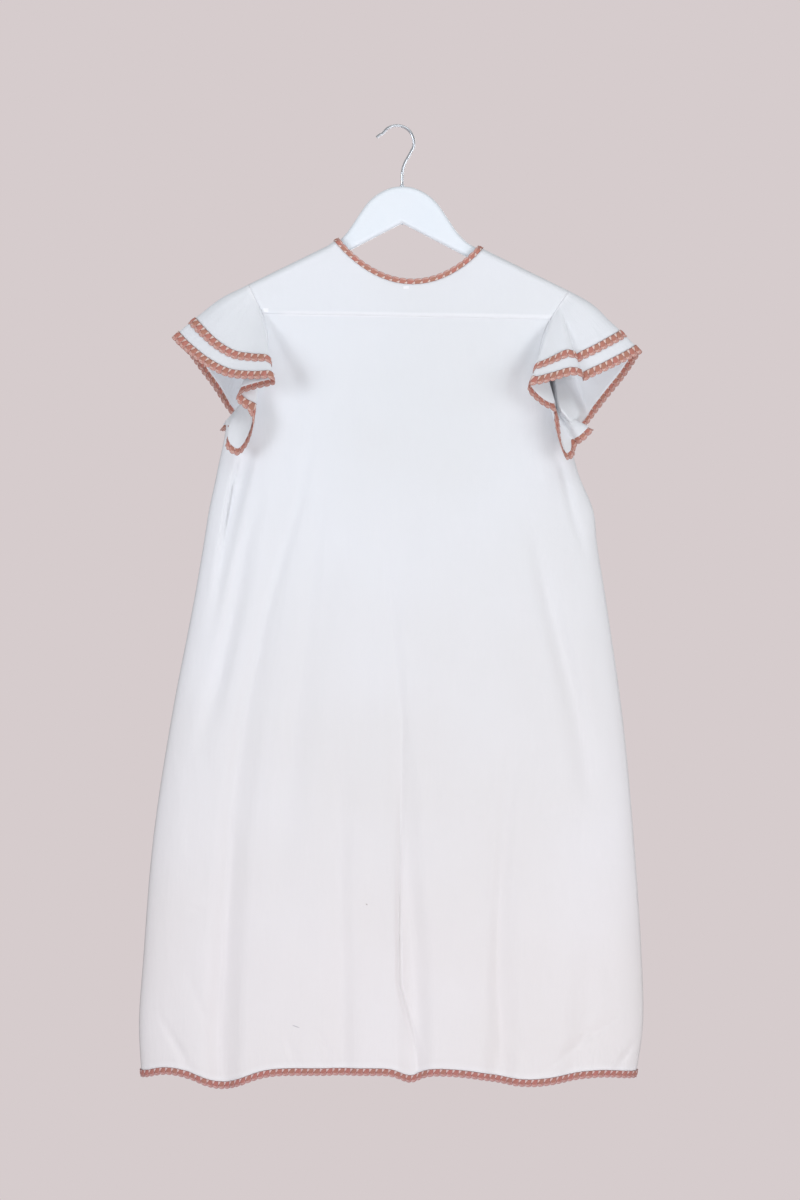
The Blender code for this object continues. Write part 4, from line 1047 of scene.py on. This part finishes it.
def braid_finish():
    """Woven trimming braid of twisted rayon, with a low sheen: terracotta ovals, cream threads
    between, rose shells."""
    finish, tree, shader = new_finish("woven_braid", {"Roughness": 0.75, "Sheen Weight": 0.08})
    uv = add(tree, UV, {"uv_map": "braid"})
    split = add(tree, SPLIT, None, uv)
    along, across = split.outputs["X"], split.outputs["Y"]

    # How far along its own oval or shell a point is, and how far from its middle
    leaning = add(tree, MATH, "MULTIPLY_ADD", across, OVAL_LEAN, along)
    leaning = add(tree, MATH, "SUBTRACT", leaning, OVAL_LEAN * OVAL_MIDDLE)
    shapes = []
    for source, middle, size in ((leaning, OVAL_MIDDLE, (0.41, 0.33, 1)), (along, 0.72, (0.5, 0.30, 1))):
        share = add(tree, MATH, "FRACT", source)
        away = add(tree, JOIN, None, share, across)
        away = add(tree, MAPPING, {"vector_type": "TEXTURE", "Location": (0.5, middle, 0),
                                   "Scale": size}, away)
        shapes.append((share, add(tree, VECTOR, "LENGTH", away)))
    (in_oval, oval), (in_shell, shell) = shapes

    # Each oval has its own tone, and threads that run over it aslant
    number = add(tree, MATH, "FLOOR", leaning)
    change = add(tree, "ShaderNodeTexWhiteNoise", {"noise_dimensions": "1D"}, number)
    oval_colour = add(tree, MIX, COLOUR, change, linear("#c4796c"), linear("#b67e68"))
    stitch = add(tree, MATH, "MULTIPLY_ADD", in_oval, 1.2, across)
    stitch = add(tree, MATH, "MULTIPLY", stitch, 40.0)
    stitch = add(tree, MATH, "SINE", stitch)
    threads = add(tree, RANGE, None, stitch, -1.0, 1.0, 0.0, 0.3)
    oval_colour = add(tree, MIX, COLOUR, threads, oval_colour, linear("#dba595"))

    # Lacy shells below: a ring of small cream eyes round a rose middle
    ring = add(tree, MATH, "MULTIPLY", shell, 11.0)
    ring = add(tree, MATH, "SINE", ring)
    dots = add(tree, MATH, "MULTIPLY", in_shell, 8 * math.pi)
    dots = add(tree, MATH, "SINE", dots)
    dots = add(tree, MATH, "MULTIPLY", ring, dots)
    eyes = add(tree, RANGE, SMOOTH, dots, 0.1, 0.8, 0.0, 0.9)
    shell_colour = add(tree, MIX, COLOUR, eyes, linear("#cc958a"), linear("#f3ded2"))
    inside = add(tree, RANGE, SMOOTH, shell, 1.04, 0.92)
    colour = add(tree, MIX, COLOUR, inside, linear("#a2645b"), shell_colour)
    inside = add(tree, RANGE, SMOOTH, oval, 1.06, 0.94)
    colour = add(tree, MIX, COLOUR, inside, colour, oval_colour)

    # A cream curl between two ovals, widest at the straight edge, and a dark rim on both edges
    gap = add(tree, MATH, "PINGPONG", leaning, 0.5)
    curl = add(tree, MATH, "MULTIPLY_ADD", across, -0.48, 0.27)
    curl = add(tree, MATH, "SUBTRACT", curl, gap)
    curl = add(tree, RANGE, SMOOTH, curl, 0.0, 0.05, 0.0, 0.9)
    colour = add(tree, MIX, COLOUR, curl, colour, linear("#f1dcd1"))
    for off, on, share in ((0.06, 0.015, 0.85), (0.93, 1.0, 0.5)):
        rim = add(tree, RANGE, SMOOTH, across, off, on, 0.0, share)
        colour = add(tree, MIX, COLOUR, rim, colour, linear("#9c655c"))
    # Painted shade: the braid is multiplied a little darker towards the hem, where it hangs lowest
    place = add(tree, COORDINATES).outputs["Object"]
    height = add(tree, SPLIT, None, place).outputs["Z"]
    low = add(tree, RANGE, None, height, -0.6, -1.0)
    colour = add(tree, MIX, PAINTED_SHADE_MIX, low, colour, linear("#ebe6ee"))
    plug(tree, colour, shader["Base Color"])
    fibres = add(tree, MAPPING, {"Scale": (14, 16, 1)}, uv)
    fibres = add(tree, NOISE, {"Scale": 1.0, "Detail": 2.0}, fibres)
    height = add(tree, MATH, "MULTIPLY_ADD", stitch, 0.5, fibres)
    bump = add(tree, BUMP, {"Strength": 0.5, "Distance": 0.0004, "Height": height})
    plug(tree, bump, shader["Normal"])
    return finish


def paint_finish():
    """Satin white paint on wood, with faint brush marks."""
    finish, tree, shader = new_finish("painted_wood", {"Roughness": 0.35})
    place = add(tree, COORDINATES).outputs["Object"]
    tone = add(tree, NOISE, {"Scale": 18.0, "Detail": 3.0}, place)
    tone = add(tree, RAMP, None, tone)
    for stop, colour in zip(tone.color_ramp.elements, ("#eff7fe", "#f6fbff")):
        stop.color = linear(colour)
    plug(tree, tone, shader["Base Color"])
    marks = add(tree, MAPPING, {"Scale": (60, 60, 900)}, place)
    marks = add(tree, NOISE, {"Scale": 1.0, "Detail": 2.0}, marks)
    bump = add(tree, BUMP, {"Strength": 0.08, "Distance": 0.0003, "Height": marks})
    plug(tree, bump, shader["Normal"])
    return finish


def wire_finish():
    """Zinc-plated steel wire: bright metal, duller in small spots."""
    values = {"Metallic": 1.0, "Base Color": linear("#dde2e8")}
    finish, tree, shader = new_finish("plated_wire", values)
    place = add(tree, COORDINATES).outputs["Object"]
    spots = add(tree, NOISE, {"Scale": 240.0, "Detail": 3.0}, place)
    rough = add(tree, RANGE, {"To Min": 0.14, "To Max": 0.34}, spots)
    plug(tree, rough, shader["Roughness"])
    return finish


# Studio

def camera():
    data = bpy.data.cameras.new("camera")
    data.lens, data.sensor_width, data.clip_end = CAMERA_LENS, 36, 100
    thing = placed("camera", data)
    thing.location = CAMERA_PLACE
    thing.rotation_euler = (math.radians(90), 0, 0)
    bpy.context.scene.camera = thing


def floor():
    """A round floor of matt paint in the backdrop's colour."""
    mesh = bmesh.new()
    bmesh.ops.create_circle(mesh, cap_ends=True, segments=96, radius=FLOOR_RADIUS)
    bmesh.ops.translate(mesh, verts=mesh.verts, vec=(0, 0, FLOOR_Z))
    thing = placed("floor", mesh_data("floor", mesh))
    values = {"Roughness": 0.95, "Base Color": linear(BACKDROP)}
    thing.data.materials.append(new_finish("studio_floor", values)[0])


def lamp(name, place, aim, size, watts, colour):
    data = bpy.data.lights.new(name, "AREA")
    data.shape = "RECTANGLE"
    data.size, data.size_y = size
    data.energy = watts
    data.color = linear(colour)[:3]
    thing = placed(name, data)
    thing.location = place
    thing.rotation_euler = (Vector(aim) - Vector(place)).to_track_quat("-Z", "Y").to_euler()


def studio():
    camera()
    floor()
    world = bpy.data.worlds.new("studio")
    bpy.context.scene.world = world
    world.use_nodes = True
    tree = world.node_tree
    backdrop = tree.nodes["Background"]
    backdrop.inputs["Color"].default_value = linear(BACKDROP)
    light = add(tree, "ShaderNodeBackground", {"Color": SOFT_LIGHT, "Strength": SOFT_LIGHT_STRENGTH})
    seen = add(tree, "ShaderNodeLightPath").outputs["Is Camera Ray"]
    both = add(tree, "ShaderNodeMixShader", None, seen, light, backdrop)
    plug(tree, both, tree.nodes["World Output"].inputs["Surface"])
    for row in LAMPS:
        lamp(*row)
    view = bpy.context.scene.view_settings
    view.view_transform = "Standard"
    view.look = "None"


def dress():
    cotton, braid = cotton_finish(), braid_finish()
    back, yoke, front = body_pieces(cotton)
    sleeves = [sleeve_piece("left", LEFT, cotton), sleeve_piece("right", RIGHT, cotton)]
    hem, neck = hem_braid(braid), neck_braid(braid)
    for word, (cloth, form) in zip(("left", "right"), sleeves):
        bands = sleeve_braids(word, form, UPPER_SPANS[form.side], braid)


def hanger_outline():
    """The flat body's outline, clockwise from the middle of its top."""
    reach = np.concatenate([np.linspace(0, 108, 37)[:-1], [110.0]])
    top = [Point(x, float(along_table(HANGER_CROWN, x, "drop"))) for x in reach]
    slope_angle = math.atan(ARM_SLOPE)
    run = HANGER_HALF_SPAN - UNDERSIDE_PARALLEL_FROM
    elbow = APEX_DROP + UNDERSIDE_SLOPE * UNDERSIDE_PARALLEL_FROM
    height = elbow - (ARM_TOP_DROP + ARM_SLOPE * UNDERSIDE_PARALLEL_FROM)
    radius = 0.5 * height * math.cos(slope_angle)
    centre_x = HANGER_HALF_SPAN - radius
    centre_drop = ARM_TOP_DROP + ARM_SLOPE * UNDERSIDE_PARALLEL_FROM + height / 2
    centre_drop += ARM_SLOPE * (run - radius)
    for turn in np.linspace(math.pi / 2, -math.pi / 2, 15) - slope_angle:
        top.append(Point(centre_x + radius * math.cos(turn), centre_drop - radius * math.sin(turn)))
    top += [Point(UNDERSIDE_PARALLEL_FROM, elbow), Point(0, APEX_DROP)]
    left = [Point(-point.x, point.drop) for point in reversed(top[1:-1])]
    return [(STEM_X + point.x, point.drop) for point in top + left]


def mesh_piece(name, mesh, finish, slot, *nodes):
    data = mesh_data(name, mesh)
    data.shade_smooth()
    data.set_sharp_from_angle(angle=math.radians(SHARP_FROM))
    return worn(placed(name, data), finish, slot, *nodes)


def hanger_wood(paint):
    mesh = bmesh.new()
    half = HANGER_THICK / 2
    corners = [mesh.verts.new(Vector((x, -half, -drop)) * MM) for x, drop in hanger_outline()]
    face = mesh.faces.new(corners)
    made = bmesh.ops.extrude_face_region(mesh, geom=[face], use_keep_orig=True)
    moved = [item for item in made["geom"] if isinstance(item, bmesh.types.BMVert)]
    bmesh.ops.translate(mesh, verts=moved, vec=(0, HANGER_THICK * MM, 0))
    bmesh.ops.recalc_face_normals(mesh, faces=mesh.faces)
    rims = [edge for edge in mesh.edges if abs(edge.verts[0].co.y - edge.verts[1].co.y) < 1e-6]
    bmesh.ops.bevel(mesh, geom=rims, offset=HANGER_ROUND * MM, offset_type="OFFSET", segments=7,
                    profile=0.5, affect="EDGES", clamp_overlap=True, material=-1)
    mesh_piece("hanger_wood", mesh, paint, "white_paint", "hanger_body")


def hook_wire(steel):
    """Round wire along the hook's line, with a blunt tip, a small collar at the wood and the end of
    the stem, which shows under the wood."""
    line = np.array(HOOK_LINE, float)
    padded = np.concatenate([2 * line[:1] - line[1:2], line, 2 * line[-1:] - line[-2:-1]])
    path = []
    for k in range(len(line) - 1):
        a, b, c, d = padded[k:k + 4]
        for t in np.linspace(0, 1, 6)[:-1]:
            path.append(0.5 * (2 * b + (c - a) * t + (2 * a - 5 * b + 4 * c - d) * t**2
                               + (3 * b - a - 3 * c + d) * t**3))
    path = np.array([*path, line[-1]])
    steps = np.gradient(path, axis=0)
    steps = steps / np.linalg.norm(steps, axis=1, keepdims=True)
    mesh = bmesh.new()
    ring = None
    for place, (run, drop) in zip(path, steps):
        made = bmesh.ops.create_circle(mesh, cap_ends=False, segments=20, radius=HOOK_WIRE / 2 * MM)
        verts = made["verts"]
        aim = Vector((run, 0, -drop)).to_track_quat("Z", "Y").to_matrix()
        bmesh.ops.rotate(mesh, verts=verts, cent=(0, 0, 0), matrix=aim)
        bmesh.ops.translate(mesh, verts=verts, vec=Vector((place[0], 0, -place[1])) * MM)
        edges = list(dict.fromkeys(edge for vert in verts for edge in vert.link_edges))
        if ring:
            bmesh.ops.bridge_loops(mesh, edges=ring + edges)
        else:
            first = edges
        ring = edges
    for loop in (first, ring):
        bmesh.ops.contextual_create(mesh, geom=loop)
        bmesh.ops.bevel(mesh, geom=loop, offset=WIRE_END_ROUND * MM, offset_type="OFFSET", segments=3,
                        profile=0.5, affect="EDGES", clamp_overlap=True, material=-1)
    bmesh.ops.recalc_face_normals(mesh, faces=mesh.faces)
    mesh_piece("hook_wire", mesh, steel, "steel", "hook")
    turned_piece("stem_collar", COLLAR, steel)
    turned_piece("stem_end", STEM_END, steel)


def turned_piece(name, outline, steel):
    """A thin shell turned about the stem's line."""
    mesh = bmesh.new()
    profile = [mesh.verts.new(Vector((radius, 0, -drop)) * MM) for radius, drop in outline]
    edges = [mesh.edges.new(pair) for pair in zip(profile, profile[1:])]
    bmesh.ops.spin(mesh, geom=profile + edges, cent=(0, 0, 0), axis=(0, 0, 1), angle=2 * math.pi,
                   steps=32, use_merge=True)
    bmesh.ops.recalc_face_normals(mesh, faces=mesh.faces)
    bmesh.ops.translate(mesh, verts=mesh.verts, vec=(STEM_X * MM, 0, 0))
    thickened(mesh_piece(name, mesh, steel, "steel"), COLLAR_THICK)


def hanger():
    hanger_wood(paint_finish())
    hook_wire(wire_finish())


dress()
hanger()
studio()
